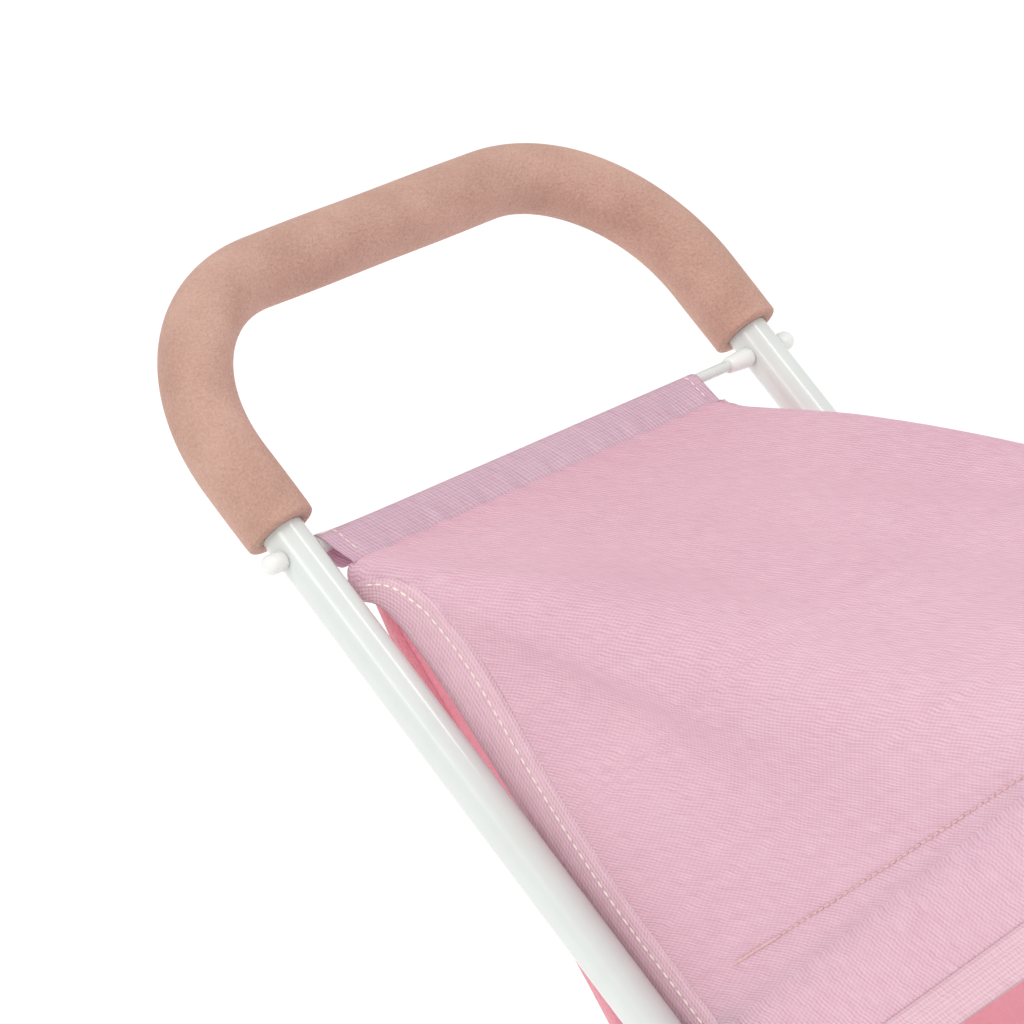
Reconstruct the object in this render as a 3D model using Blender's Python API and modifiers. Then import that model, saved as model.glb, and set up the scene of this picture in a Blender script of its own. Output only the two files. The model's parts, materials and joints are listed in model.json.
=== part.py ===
"""Folding doll stroller: a U-shaped main frame with a foam grip, a rear frame that scissors on it,
swivelling double front wheels, fixed double rear wheels, a sling seat and a folding canopy.

Metres, +Z up. The stroller faces -Y; its right side is +X. Side views are pairs (y, z), and they are
laid out from the middle of the handle's top bar. The whole model is then shifted along Y so that the
origin is under the middle of its bounding box.
"""

import math

import bmesh
import bpy
import numpy as np
from mathutils import Matrix, Vector

MM = 0.001

# --- Driving dimensions -------------------------------------------------------------------------

GAP = 0.3 * MM  # between pieces that touch
RUNNING = 0.3 * MM  # radial clearance of a shaft in its hole
OVERCUT = 1 * MM  # of a cutter past the face that it opens
HEAD_TAPER = 0.7  # a screw's or an axle's head: its face's radius to its rim's
RIVET_TAPER = 0.6

# Main frame
TUBE_RADIUS = 7.5 * MM
TRACK = 242 * MM  # between the centrelines of the main frame's two sides
UPPER_SLOPE = math.radians(40)  # from the knee up to the handle
LOWER_SLOPE = math.radians(62)  # from the caster up to the knee
UPPER_LENGTH = 330 * MM  # top bar to knee
LOWER_LENGTH = 270 * MM  # knee to the tube's end
HANDLE_CORNER = 63 * MM  # bend radius of the U
KNEE_BEND = 80 * MM

# Foam grip and the canopy's rod
FOAM_RADIUS = 12.6 * MM
FOAM_ARM = 89 * MM  # top bar to the foam's ends, down each side
ROD_RADIUS = 2 * MM
ROD_BELOW_FOAM = 9 * MM
ROD_CAP_RADIUS = 3.5 * MM
ROD_CAP_LENGTH = 8.5 * MM
ROD_CAP_DOME = 2.6 * MM  # of the cap's length
ROD_CAP_FACE_RADIUS = 1.9 * MM
ROD_CAP_BORE_DEPTH = 5.5 * MM
ROD_BUSH_LENGTH = 12 * MM
ROD_BUSH_RADIUS = 3.5 * MM
ROD_BUSH_TIP_RADIUS = 2.9 * MM

# Wheels: every corner carries two, one each side of its leg
WHEEL_RADIUS = 36 * MM
WHEEL_SIDES = 24
TYRE_WIDTH = 13.6 * MM
TREAD_WIDTH = 9 * MM
TYRE_SHOULDER = 2 * MM
TYRE_HEIGHT = 8.2 * MM
HUB_SIDES = 16
HUB_RIM_WIDTH = 12.4 * MM
HUB_RIM_HEIGHT = 3.2 * MM
HUB_WEB = 5 * MM
HUB_BOSS_RADIUS = 6.5 * MM
HUB_BOSS_WIDTH = 14 * MM
AXLE_RADIUS = 2 * MM
AXLE_HEAD_RADIUS = 3.8 * MM
AXLE_HEAD = 1.8 * MM
LEG_THICKNESS = 12 * MM
WHEEL_GAP = 0.5 * MM  # leg to hub boss

# Front casters
CASTER_TRAIL = 18 * MM
CASTER_SETBACK = 16 * MM  # caster axis ahead of the tube's end
SOCKET_WALL = 3 * MM
SOCKET_GRIP = 36 * MM  # of tube inside the socket
SOCKET_FOOT = 8 * MM  # of socket past the tube's end
TUBE_OVER_BOSS = 18.7 * MM  # tube's end above the foot of the caster's boss
BOSS_RADIUS = 10 * MM
BOSS_LENGTH = 30 * MM
BOSS_ROOF = 3 * MM
STEM_RADIUS = 3.5 * MM
STEM_END_GAP = 1 * MM
CROWN_RADIUS = 9 * MM
CROWN_THICKNESS = 3.2 * MM
CROWN_ABOVE_WHEEL = 0.6 * MM
LEG_EYE_RADIUS = 7 * MM

# Rear frame, a U that crosses the main frame at the fold rivets
FRAME_GAP = 2 * MM  # between the two frames' tubes
REAR_AXLE_BEHIND_FRONT = 292 * MM  # between the front and rear axles' lines
SEAT_BAR_AHEAD = 91 * MM  # seat bar ahead of the fold rivet
FOLD_DOWN_LOWER = 120 * MM  # knee to fold rivet, along the lower tube
REAR_CORNER = 30 * MM
REAR_TUBE_OVER_WHEEL = 4 * MM  # rear tube's end outside the tyre
BRACKET_GRIP = 28 * MM
BRACKET_NECK_RADIUS = 9 * MM

# Cross tubes
CROSS_RADIUS = 5 * MM
CROSS_OVER_SOCKET = 20 * MM  # cross tube above the socket or bracket at the leg's foot
SCREW_RADIUS = 1.8 * MM
SCREW_HEAD_RADIUS = 3.6 * MM
SCREW_HEAD = 1.6 * MM
SCREW_BITE = 12 * MM  # of screw inside a cross tube

# Fold rivets and the open stop
RIVET_RADIUS = 2.5 * MM
RIVET_HEAD_RADIUS = 5.5 * MM
RIVET_HEAD = 2 * MM
SPACER_RADIUS = 6.5 * MM
PLATE_THICKNESS = 3 * MM
PLATE_EYE_RADIUS = 8.5 * MM
PLATE_SCREW_DOWN = 26 * MM  # fold rivet to plate screw, down the lower tube
STUD_OUT = 46 * MM  # fold rivet to stud, down the rear leg
STUD_RADIUS = 2.5 * MM
STUD_HEAD_RADIUS = 4.5 * MM
NOTCH_TURN = math.radians(24)
NOTCH_STEPS = 4

# Canopy
BOW_PIVOT_OVER_KNEE = 25 * MM  # along the upper tube
BOW_LEAN = math.radians(136)  # from straight back over the top
BOW_HEIGHT = 228 * MM
BOW_RADIUS = 2.5 * MM
BOW_CORNER = 50 * MM
KNUCKLE_RADIUS = 8 * MM
KNUCKLE_LENGTH = 22 * MM
KNUCKLE_TIP_RADIUS = 4.5 * MM
KNUCKLE_THICKNESS = 8 * MM
BOW_RIVET_RADIUS = 2 * MM
BOW_RIVET_HEAD_RADIUS = 4 * MM
BOW_RIVET_HEAD = 1.6 * MM
CLOTH = 1.2 * MM
CLOTH_CLEAR = 1.2 * MM
CLOTH_TO_TUBE = 2.1 * MM  # between the canopy's sides and the main tubes
CANOPY_SIDE_LIFT = 6 * MM  # lower side edge above the tube's plane
CANOPY_SIDE_AHEAD = 30 * MM  # lower side edge ahead of the bow pivot
CANOPY_FAN_FOOT = 8 * MM  # of lower side edge that the panel's fan starts from
CANOPY_ROD_CORNER = 12 * MM
SLEEVE_LEFT_SHORT = 3.5 * MM  # sleeve's ends short of the main tubes
SLEEVE_RIGHT_SHORT = 31.5 * MM
CANOPY_VISOR = 50 * MM  # cloth ahead of the bow
VISOR_LIFT = math.radians(22)  # visor's rise at the top, over square to the bow

# Seat sling
SEAT_CLOTH = 3 * MM
SEAT_BIGHT_BEHIND = 63 * MM  # where back and base meet, behind and over the fold rivet
SEAT_BIGHT_OVER = 47 * MM
SEAT_SEAM_GAP = 2 * MM
SEAT_BACK_INSET = 14 * MM  # back's edges inside the main tubes' centres
SEAT_BASE_INSET = 36 * MM  # base's front edges inside the rear tubes' centres
SEAT_BASE_NARROWER = 6 * MM  # base's rear edges inside the back's
SEAT_SAG = 5 * MM

# --- Places worked out from the dimensions --------------------------------------------------------


def along(start, slope, distance):
    """Side-view point at a distance from start, on a line at this angle from the rearward direction."""
    return (start[0] + distance * math.cos(slope), start[1] + distance * math.sin(slope))


SIDE = TRACK / 2
AXLE_HEIGHT = WHEEL_RADIUS * math.cos(math.pi / WHEEL_SIDES)
BOSS_BOTTOM = AXLE_HEIGHT + WHEEL_RADIUS + CROWN_ABOVE_WHEEL + CROWN_THICKNESS + GAP
UPPER_RISE = UPPER_LENGTH * math.sin(UPPER_SLOPE)
LOWER_RISE = LOWER_LENGTH * math.sin(LOWER_SLOPE)
TOP_BAR = (0.0, BOSS_BOTTOM + TUBE_OVER_BOSS + LOWER_RISE + UPPER_RISE)
KNEE = along(TOP_BAR, UPPER_SLOPE, -UPPER_LENGTH)
TUBE_END = along(KNEE, LOWER_SLOPE, -LOWER_LENGTH)
ROD = along(TOP_BAR, UPPER_SLOPE, -FOAM_ARM - ROD_BELOW_FOAM)
FOLD = along(KNEE, LOWER_SLOPE, -FOLD_DOWN_LOWER)
BOW_PIVOT = along(KNEE, UPPER_SLOPE, BOW_PIVOT_OVER_KNEE)
CASTER_Y = TUBE_END[0] - CASTER_SETBACK
FRONT_AXLE = (CASTER_Y + CASTER_TRAIL, AXLE_HEIGHT)
REAR_AXLE = (FRONT_AXLE[0] + REAR_AXLE_BEHIND_FRONT, AXLE_HEIGHT)
REAR_SIDE = SIDE - 2 * TUBE_RADIUS - FRAME_GAP
REAR_SLOPE = math.atan2(FOLD[1] - REAR_AXLE[1], FOLD[0] - REAR_AXLE[0])
SEAT_BAR = along(FOLD, REAR_SLOPE, SEAT_BAR_AHEAD / abs(math.cos(REAR_SLOPE)))
REAR_TUBE_END = along(REAR_AXLE, REAR_SLOPE, WHEEL_RADIUS + REAR_TUBE_OVER_WHEEL)
STUD = along(FOLD, REAR_SLOPE, -STUD_OUT)
TUBE_INNER = SIDE - TUBE_RADIUS
CLOTH_SIDE = TUBE_INNER - CLOTH_TO_TUBE - CLOTH / 2
BOW_SIDE = CLOTH_SIDE - CLOTH / 2 - CLOTH_CLEAR - KNUCKLE_THICKNESS / 2
SEAT_BIGHT = (FOLD[0] + SEAT_BIGHT_BEHIND, FOLD[1] + SEAT_BIGHT_OVER)

# --- Scene, materials and modelling helpers ---------------------------------------------------------

for leftover in list(bpy.data.objects):
    bpy.data.objects.remove(leftover, do_unlink=True)

stroller = bpy.data.collections.new("doll_stroller")
cutters = bpy.data.collections.new("cutters")
bpy.context.scene.collection.children.link(stroller)
bpy.context.scene.collection.children.link(cutters)
cutters.hide_render = True

frame_origin = bpy.data.objects.new("frame_origin", None)
stroller.objects.link(frame_origin)


def finish(name, colour, roughness, metallic=0.0):
    """A Principled material."""
    material = bpy.data.materials.new(name)
    material.use_nodes = True
    shader = material.node_tree.nodes["Principled BSDF"]
    shader.inputs["Base Color"].default_value = (*colour, 1)
    shader.inputs["Roughness"].default_value = roughness
    shader.inputs["Metallic"].default_value = metallic
    return material


WHITE_PAINT = finish("white_painted_steel", (0.85, 0.87, 0.85), 0.2)
FOAM = finish("dusty_pink_foam", (0.55, 0.32, 0.26), 0.9)
WHITE_PLASTIC = finish("white_plastic", (0.86, 0.86, 0.84), 0.35)
STEEL = finish("bright_steel", (0.75, 0.75, 0.76), 0.25, 1.0)
RUBBER = finish("grey_rubber", (0.12, 0.11, 0.11), 0.8)
CANOPY_CLOTH = finish("pink_twill", (0.74, 0.46, 0.56), 0.7)
SEAT_CLOTH_FINISH = finish("pink_plain_cloth", (0.72, 0.40, 0.46), 0.8)


def pivot(name, x, place, parent):
    """An empty on a joint's axis, the parent of what turns there."""
    empty = bpy.data.objects.new(name, None)
    stroller.objects.link(empty)
    empty.parent = parent
    empty.matrix_world = Matrix.Translation((x, *place))
    bpy.context.view_layer.update()
    return empty


def piece(name, mesh, material, parent, turn=None):
    """A named sub-part, whose mesh is in world coordinates unless turn places it."""
    obj = bpy.data.objects.new(name, mesh)
    stroller.objects.link(obj)
    mesh.materials.clear()
    mesh.materials.append(material)
    obj.parent = parent
    obj.matrix_parent_inverse = parent.matrix_world.inverted()
    obj.matrix_basis = turn or Matrix.Identity(4)
    mesh.shade_smooth()
    mesh.set_sharp_from_angle(angle=math.radians(35))
    return obj


def helper(name, mesh):
    """A cutter or a shape that another piece takes in."""
    obj = bpy.data.objects.new(name, mesh)
    cutters.objects.link(obj)
    obj.parent = frame_origin
    obj.hide_render = True
    obj.display_type = "WIRE"
    return obj


def boolean(obj, operation, other):
    modifier = obj.modifiers.new(other.name, "BOOLEAN")
    modifier.operation = operation
    modifier.solver = "EXACT"
    modifier.object = other


def cut(obj, other):
    boolean(obj, "DIFFERENCE", other)


def add(obj, other):
    boolean(obj, "UNION", other)


def cylinder_mesh(name, start, end, radius, end_radius=None, sides=20):
    """A round bar, or a taper, between two points."""
    start = Vector(start)
    direction = Vector(end) - start
    turn = direction.to_track_quat("Z", "Y").to_matrix().to_4x4()
    mesh = bpy.data.meshes.new(name)
    shape = bmesh.new()
    bmesh.ops.create_cone(
        shape,
        cap_ends=True,
        segments=sides,
        radius1=radius,
        radius2=radius if end_radius is None else end_radius,
        depth=direction.length,
        matrix=Matrix.Translation(start + direction / 2) @ turn,
    )
    shape.to_mesh(mesh)
    shape.free()
    return mesh


def cross_bar(name, place, x_from, x_to, radius, end_radius=None, sides=16):
    """A round bar along X at a side-view place."""
    return cylinder_mesh(name, (x_from, *place), (x_to, *place), radius, end_radius, sides)


def curve_mesh(name, curve):
    """The closed mesh of a curve, with its caps welded."""
    obj = bpy.data.objects.new(name + "_curve", curve)
    bpy.context.scene.collection.objects.link(obj)
    bpy.context.view_layer.update()
    mesh = bpy.data.meshes.new_from_object(obj.evaluated_get(bpy.context.evaluated_depsgraph_get()))
    mesh.name = name
    bpy.data.objects.remove(obj, do_unlink=True)
    shape = bmesh.new()
    shape.from_mesh(mesh)
    bmesh.ops.remove_doubles(shape, verts=shape.verts, dist=1e-6)
    bmesh.ops.recalc_face_normals(shape, faces=shape.faces)
    shape.to_mesh(mesh)
    shape.free()
    return mesh


def tube_mesh(name, points, radius, resolution, capped=True):
    """A round tube along a path of points."""
    curve = bpy.data.curves.new(name, "CURVE")
    curve.dimensions = "3D"
    curve.bevel_depth = radius
    curve.bevel_resolution = resolution
    curve.use_fill_caps = capped
    spline = curve.splines.new("POLY")
    spline.points.add(len(points) - 1)
    for target, point in zip(spline.points, points):
        target.co = (*point, 1)
    return curve_mesh(name, curve)


def plate_mesh(name, outline, x_middle, thickness):
    """A flat plate square to X: a filled side-view outline with thickness."""
    curve = bpy.data.curves.new(name, "CURVE")
    curve.dimensions = "2D"
    curve.fill_mode = "BOTH"
    curve.extrude = thickness / 2
    spline = curve.splines.new("POLY")
    spline.points.add(len(outline) - 1)
    for target, (y, z) in zip(spline.points, outline):
        target.co = (y, z, 0, 1)
    spline.use_cyclic_u = True
    mesh = curve_mesh(name, curve)
    # The curve's own X, Y and Z become the stroller's Y, Z and X.
    mesh.transform(Matrix(((0, 0, 1, x_middle), (1, 0, 0, 0), (0, 1, 0, 0), (0, 0, 0, 1))))
    return mesh


def hull_of_circles(circles, points_each=16):
    """The taut band round some circles, each (centre, radius): a side-view outline."""
    cloud = []
    for (y, z), radius in circles:
        for angle in np.linspace(0, 2 * math.pi, points_each, endpoint=False):
            cloud.append((y + radius * math.cos(angle), z + radius * math.sin(angle)))
    cloud.sort()

    def half(points):
        chain = []
        for p in points:
            while len(chain) > 1:
                (ay, az), (by, bz) = chain[-2], chain[-1]
                if (by - ay) * (p[1] - az) - (bz - az) * (p[0] - ay) > 1e-12:
                    break
                chain.pop()
            chain.append(p)
        return chain[:-1]

    return half(cloud) + half(cloud[::-1])


def rounded(corners, radii, steps=8):
    """A path through 3-D corners, with an arc of the given radius at each inner one."""
    path = [Vector(corners[0])]
    for before, corner, after, radius in zip(corners, corners[1:], corners[2:], radii):
        corner = Vector(corner)
        back = (Vector(before) - corner).normalized()
        ahead = (Vector(after) - corner).normalized()
        half = back.angle(ahead) / 2
        centre = corner + (back + ahead).normalized() * (radius / math.sin(half))
        first = corner + back * (radius / math.tan(half)) - centre
        last = corner + ahead * (radius / math.tan(half)) - centre
        turn = first.angle(last)
        for i in range(steps + 1):
            share = i / steps
            arm = first * math.sin((1 - share) * turn) + last * math.sin(share * turn)
            path.append(centre + arm / math.sin(turn))
    path.append(Vector(corners[-1]))
    return path


def turned(name, profile, x_middle, place, sides, material, parent):
    """A round piece about an axis along X. The profile is closed pairs (radius, x), clockwise."""
    mesh = bpy.data.meshes.new(name)
    edges = [(i, (i + 1) % len(profile)) for i in range(len(profile))]
    mesh.from_pydata([(radius, 0, x) for radius, x in profile], edges, [])
    # The piece's own Z lies along X, turned half a facet so that a flat one is at the bottom.
    to_x = Matrix.Rotation(math.radians(90), 4, "Y")
    half_facet = Matrix.Rotation(math.pi / sides, 4, "Z")
    obj = piece(name, mesh, material, parent, Matrix.Translation((x_middle, *place)) @ to_x @ half_facet)
    screw = obj.modifiers.new("turn", "SCREW")
    screw.steps = sides
    screw.render_steps = sides
    screw.use_merge_vertices = True
    screw.merge_threshold = 0.00001
    screw.use_smooth_shade = True
    return obj


def solid_sheet(name, rows, thickness, material, parent):
    """A closed cloth solid: a grid of points, each row from left to right, given a thickness about it."""
    columns = len(rows[0])
    points = [tuple(p) for row in rows for p in row]
    faces = []
    for r in range(len(rows) - 1):
        for c in range(columns - 1):
            corner = r * columns + c
            faces.append((corner, corner + 1, corner + columns + 1, corner + columns))
    mesh = bpy.data.meshes.new(name)
    mesh.from_pydata(points, [], faces)
    obj = piece(name, mesh, material, parent)
    solidify = obj.modifiers.new("thickness", "SOLIDIFY")
    solidify.thickness = thickness
    solidify.offset = 0
    solidify.use_even_offset = True
    return obj


SIDES = (("left", -1), ("right", 1))

# --- Main frame ------------------------------------------------------------------------------------


def u_path(side, half_width, top, corner, lower):
    """A U seen from the front: up one side, across at top and down the other. lower continues the sides."""
    left = [(-half_width, *place) for place in lower]
    right = [(half_width, *place) for place in reversed(lower)]
    corners = [*left, (-half_width, *top), (half_width, *top), *right]
    return rounded(corners, side + [corner, corner] + side[::-1])


main_path = u_path([KNEE_BEND], SIDE, TOP_BAR, HANDLE_CORNER, [TUBE_END, KNEE])
main_mesh = tube_mesh("main_frame_tube", main_path, TUBE_RADIUS, 5)
main_tube = piece("main_frame_tube", main_mesh, WHITE_PAINT, frame_origin)

foam_start = along(TOP_BAR, UPPER_SLOPE, -FOAM_ARM)
foam_path = u_path([], SIDE, TOP_BAR, HANDLE_CORNER, [foam_start])
foam_mesh = tube_mesh("foam_grip", foam_path, FOAM_RADIUS, 5, capped=False)
foam = piece("foam_grip", foam_mesh, FOAM, frame_origin)
foam_wall = foam.modifiers.new("wall", "SOLIDIFY")
foam_wall.thickness = FOAM_RADIUS - TUBE_RADIUS - GAP
foam_wall.offset = -1

# The rod that carries the canopy's sleeve, with its end caps and inner bushes
rod_end = SIDE + TUBE_RADIUS + ROD_CAP_BORE_DEPTH
piece("top_rod", cross_bar("top_rod", ROD, -rod_end, rod_end, ROD_RADIUS), WHITE_PAINT, frame_origin)
cut(main_tube, helper("rod_hole", cross_bar("rod_hole", ROD, -rod_end, rod_end, ROD_RADIUS + RUNNING)))
for side_name, sign in SIDES:
    cap_start = SIDE + TUBE_RADIUS + GAP
    name = f"rod_cap_{side_name}"
    dome_from = sign * (cap_start + ROD_CAP_LENGTH - ROD_CAP_DOME)
    dome_to = sign * (cap_start + ROD_CAP_LENGTH)
    barrel = cross_bar(name, ROD, sign * cap_start, dome_from, ROD_CAP_RADIUS)
    cap = piece(name, barrel, WHITE_PLASTIC, frame_origin)
    dome_root = dome_from - sign * GAP
    dome = cross_bar(name + "_dome", ROD, dome_root, dome_to, ROD_CAP_RADIUS, ROD_CAP_FACE_RADIUS)
    add(cap, helper(name + "_dome", dome))
    bore_from = sign * (cap_start - OVERCUT)
    bore_to = sign * (cap_start + ROD_CAP_BORE_DEPTH)
    cut(cap, helper(name + "_bore", cross_bar(name + "_bore", ROD, bore_from, bore_to, ROD_RADIUS + GAP)))

    bush_start = TUBE_INNER - GAP
    bush_end = bush_start - ROD_BUSH_LENGTH
    name = f"rod_bush_{side_name}"
    bush_mesh = cross_bar(name, ROD, sign * bush_start, sign * bush_end, ROD_BUSH_RADIUS, ROD_BUSH_TIP_RADIUS)
    bush = piece(name, bush_mesh, WHITE_PLASTIC, frame_origin)
    bore_from = sign * (bush_start + OVERCUT)
    bore_to = sign * (bush_end - OVERCUT)
    bore = cross_bar(name + "_bore", ROD, bore_from, bore_to, ROD_RADIUS + GAP)
    cut(bush, helper(name + "_bore", bore))


def screw(name, place, x_head, length, sign, parent):
    """A domed screw along X: its head outside x_head, its shaft inward."""
    shaft_from = sign * (x_head + SCREW_HEAD / 2)
    shaft_to = sign * (x_head - length)
    obj = piece(name, cross_bar(name, place, shaft_from, shaft_to, SCREW_RADIUS, sides=12), STEEL, parent)
    head_to = sign * (x_head + SCREW_HEAD)
    face_radius = SCREW_HEAD_RADIUS * HEAD_TAPER
    head = cross_bar(name + "_head", place, sign * x_head, head_to, SCREW_HEAD_RADIUS, face_radius)
    add(obj, helper(name + "_head", head))


def cross_tube(name, place, half_width, host, parent):
    """A tube between two side tubes, held at each end by a screw through the side tube."""
    inner = half_width - TUBE_RADIUS - GAP
    obj = piece(name, cross_bar(name, place, -inner, inner, CROSS_RADIUS), WHITE_PAINT, parent)
    hole = cross_bar(name + "_hole", place, -half_width * 2, half_width * 2, SCREW_RADIUS + RUNNING, sides=12)
    cut(host, helper(name + "_hole", hole))
    for side_name, sign in SIDES:
        bore_name = f"{name}_bore_{side_name}"
        bore_from = sign * (inner + OVERCUT)
        bore_to = sign * (inner - SCREW_BITE - OVERCUT)
        bore = cross_bar(bore_name, place, bore_from, bore_to, SCREW_RADIUS + RUNNING, sides=12)
        cut(obj, helper(bore_name, bore))
        head_at = half_width + TUBE_RADIUS + GAP
        screw(f"{name[:-5]}_screw_{side_name}", place, head_at, head_at - inner + SCREW_BITE, sign, parent)


front_cross = along(TUBE_END, LOWER_SLOPE, SOCKET_GRIP + CROSS_OVER_SOCKET)
cross_tube("front_cross_tube", front_cross, SIDE, main_tube, frame_origin)

# --- Rear frame --------------------------------------------------------------------------------------

fold_pivot = pivot("fold_pivot", 0, FOLD, frame_origin)
rear_path = u_path([], REAR_SIDE, SEAT_BAR, REAR_CORNER, [REAR_TUBE_END])
rear_mesh = tube_mesh("rear_frame_tube", rear_path, TUBE_RADIUS, 5)
rear_tube = piece("rear_frame_tube", rear_mesh, WHITE_PAINT, fold_pivot)
rear_cross = along(REAR_TUBE_END, REAR_SLOPE, BRACKET_GRIP + CROSS_OVER_SOCKET)
cross_tube("rear_cross_tube", rear_cross, REAR_SIDE, rear_tube, fold_pivot)

# --- Fold rivets, spacers and the plates that stop the rear frame when it is open ---------------------

plate_inner = SIDE + TUBE_RADIUS + GAP
plate_outer = plate_inner + PLATE_THICKNESS
rear_inner = REAR_SIDE - TUBE_RADIUS
rear_outer = REAR_SIDE + TUBE_RADIUS
plate_screw = along(FOLD, LOWER_SLOPE, -PLATE_SCREW_DOWN)
rivet_reach = plate_outer + RIVET_HEAD + OVERCUT
fold_hole = cross_bar("fold_hole", FOLD, -rivet_reach, rivet_reach, RIVET_RADIUS + RUNNING)
cut(main_tube, helper("fold_hole", fold_hole))
cut(rear_tube, helper("fold_hole_rear", fold_hole.copy()))
screw_hole = cross_bar("plate_screw_hole", plate_screw, -rivet_reach, rivet_reach, SCREW_RADIUS + RUNNING)
cut(main_tube, helper("plate_screw_hole", screw_hole))
stud_hole = cross_bar("stud_hole", STUD, -rivet_reach, rivet_reach, STUD_RADIUS + GAP)
cut(rear_tube, helper("stud_hole", stud_hole))


def on_arc(turn):
    """The stud's side-view place once the rear frame has folded by turn."""
    arm = STUD[0] - FOLD[0], STUD[1] - FOLD[1]
    cosine, sine = math.cos(-turn), math.sin(-turn)
    return (FOLD[0] + cosine * arm[0] - sine * arm[1], FOLD[1] + sine * arm[0] + cosine * arm[1])


def headed_pin(name, place, inner, outer, radius, head_radius, sign, parent):
    """A steel pin along X with a tapered head formed on each end, past inner and past outer."""
    shank_from = sign * (inner - RIVET_HEAD / 2)
    shank_to = sign * (outer + RIVET_HEAD / 2)
    pin = piece(name, cross_bar(name, place, shank_from, shank_to, radius), STEEL, parent)
    for end, head_at, head_to in (
        ("outer", outer, outer + RIVET_HEAD),
        ("inner", inner, inner - RIVET_HEAD),
    ):
        head_name = f"{name}_{end}"
        face_radius = head_radius * RIVET_TAPER
        head = cross_bar(head_name, place, sign * head_at, sign * head_to, head_radius, face_radius)
        add(pin, helper(head_name, head))


for side_name, sign in SIDES:
    headed_pin(
        f"fold_rivet_{side_name}",
        FOLD,
        rear_inner - GAP,
        plate_outer + GAP,
        RIVET_RADIUS,
        RIVET_HEAD_RADIUS,
        sign,
        frame_origin,
    )

    name = f"fold_spacer_{side_name}"
    spacer_from = sign * (rear_outer + GAP)
    spacer_to = sign * (TUBE_INNER - GAP)
    spacer_mesh = cross_bar(name, FOLD, spacer_from, spacer_to, SPACER_RADIUS)
    spacer = piece(name, spacer_mesh, WHITE_PLASTIC, frame_origin)
    bore = cross_bar(name + "_bore", FOLD, sign * rear_inner, sign * SIDE, RIVET_RADIUS + RUNNING)
    cut(spacer, helper(name + "_bore", bore))

    name = f"lock_plate_{side_name}"
    outline = hull_of_circles([(place, PLATE_EYE_RADIUS) for place in (FOLD, STUD, plate_screw)])
    plate_middle = sign * (plate_inner + plate_outer) / 2
    plate = piece(name, plate_mesh(name, outline, plate_middle, PLATE_THICKNESS), WHITE_PLASTIC, frame_origin)
    for hole_name, place, radius in (
        ("rivet_hole", FOLD, RIVET_RADIUS + RUNNING),
        ("screw_hole", plate_screw, SCREW_RADIUS + RUNNING),
    ):
        hole_name = f"{name}_{hole_name}"
        hole = cross_bar(hole_name, place, sign * SIDE, sign * (plate_outer + OVERCUT), radius)
        cut(plate, helper(hole_name, hole))
    notch = [(on_arc(NOTCH_TURN * i / NOTCH_STEPS), STUD_RADIUS + 2 * GAP) for i in range(NOTCH_STEPS + 1)]
    for i in range(NOTCH_STEPS):
        notch_name = f"{name}_notch_{i}"
        notch_outline = hull_of_circles(notch[i : i + 2])
        notch_mesh = plate_mesh(notch_name, notch_outline, plate_middle, 2 * PLATE_THICKNESS)
        cut(plate, helper(notch_name, notch_mesh))
    screw(f"lock_screw_{side_name}", plate_screw, plate_outer + GAP, plate_outer - SIDE, sign, frame_origin)

    headed_pin(
        f"lock_stud_{side_name}",
        STUD,
        rear_inner - GAP,
        plate_outer + GAP,
        STUD_RADIUS,
        STUD_HEAD_RADIUS,
        sign,
        fold_pivot,
    )

# --- Wheels and axles ---------------------------------------------------------------------------------

wheel_offset = LEG_THICKNESS / 2 + WHEEL_GAP + HUB_BOSS_WIDTH / 2
axle_end = wheel_offset + HUB_BOSS_WIDTH / 2 + GAP
rim_radius = WHEEL_RADIUS - TYRE_HEIGHT - 2 * GAP
tyre_inner = WHEEL_RADIUS - TYRE_HEIGHT

tyre_profile = [
    (WHEEL_RADIUS, TREAD_WIDTH / 2),
    (WHEEL_RADIUS, -TREAD_WIDTH / 2),
    (WHEEL_RADIUS - TYRE_SHOULDER, -TYRE_WIDTH / 2),
    (tyre_inner, -TYRE_WIDTH / 2),
    (tyre_inner, TYRE_WIDTH / 2),
    (WHEEL_RADIUS - TYRE_SHOULDER, TYRE_WIDTH / 2),
]
hub_profile = [
    (rim_radius, HUB_RIM_WIDTH / 2),
    (rim_radius, -HUB_RIM_WIDTH / 2),
    (rim_radius - HUB_RIM_HEIGHT, -HUB_RIM_WIDTH / 2),
    (rim_radius - HUB_RIM_HEIGHT, -HUB_WEB / 2),
    (HUB_BOSS_RADIUS, -HUB_WEB / 2),
    (HUB_BOSS_RADIUS, -HUB_BOSS_WIDTH / 2),
    (AXLE_RADIUS + RUNNING, -HUB_BOSS_WIDTH / 2),
    (AXLE_RADIUS + RUNNING, HUB_BOSS_WIDTH / 2),
    (HUB_BOSS_RADIUS, HUB_BOSS_WIDTH / 2),
    (HUB_BOSS_RADIUS, HUB_WEB / 2),
    (rim_radius - HUB_RIM_HEIGHT, HUB_WEB / 2),
    (rim_radius - HUB_RIM_HEIGHT, HUB_RIM_WIDTH / 2),
]


def axle(name, x_middle, place, parent):
    """A steel axle with a head formed on each end, outside the two wheels."""
    half_shaft = axle_end + AXLE_HEAD / 2
    shaft = cross_bar(name, place, x_middle - half_shaft, x_middle + half_shaft, AXLE_RADIUS, sides=12)
    obj = piece(name, shaft, STEEL, parent)
    for end, sign in SIDES:
        head_name = f"{name}_{end}_head"
        head_from = x_middle + sign * axle_end
        head_to = x_middle + sign * (axle_end + AXLE_HEAD)
        face_radius = AXLE_HEAD_RADIUS * HEAD_TAPER
        head = cross_bar(head_name, place, head_from, head_to, AXLE_HEAD_RADIUS, face_radius)
        add(obj, helper(head_name, head))


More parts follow.
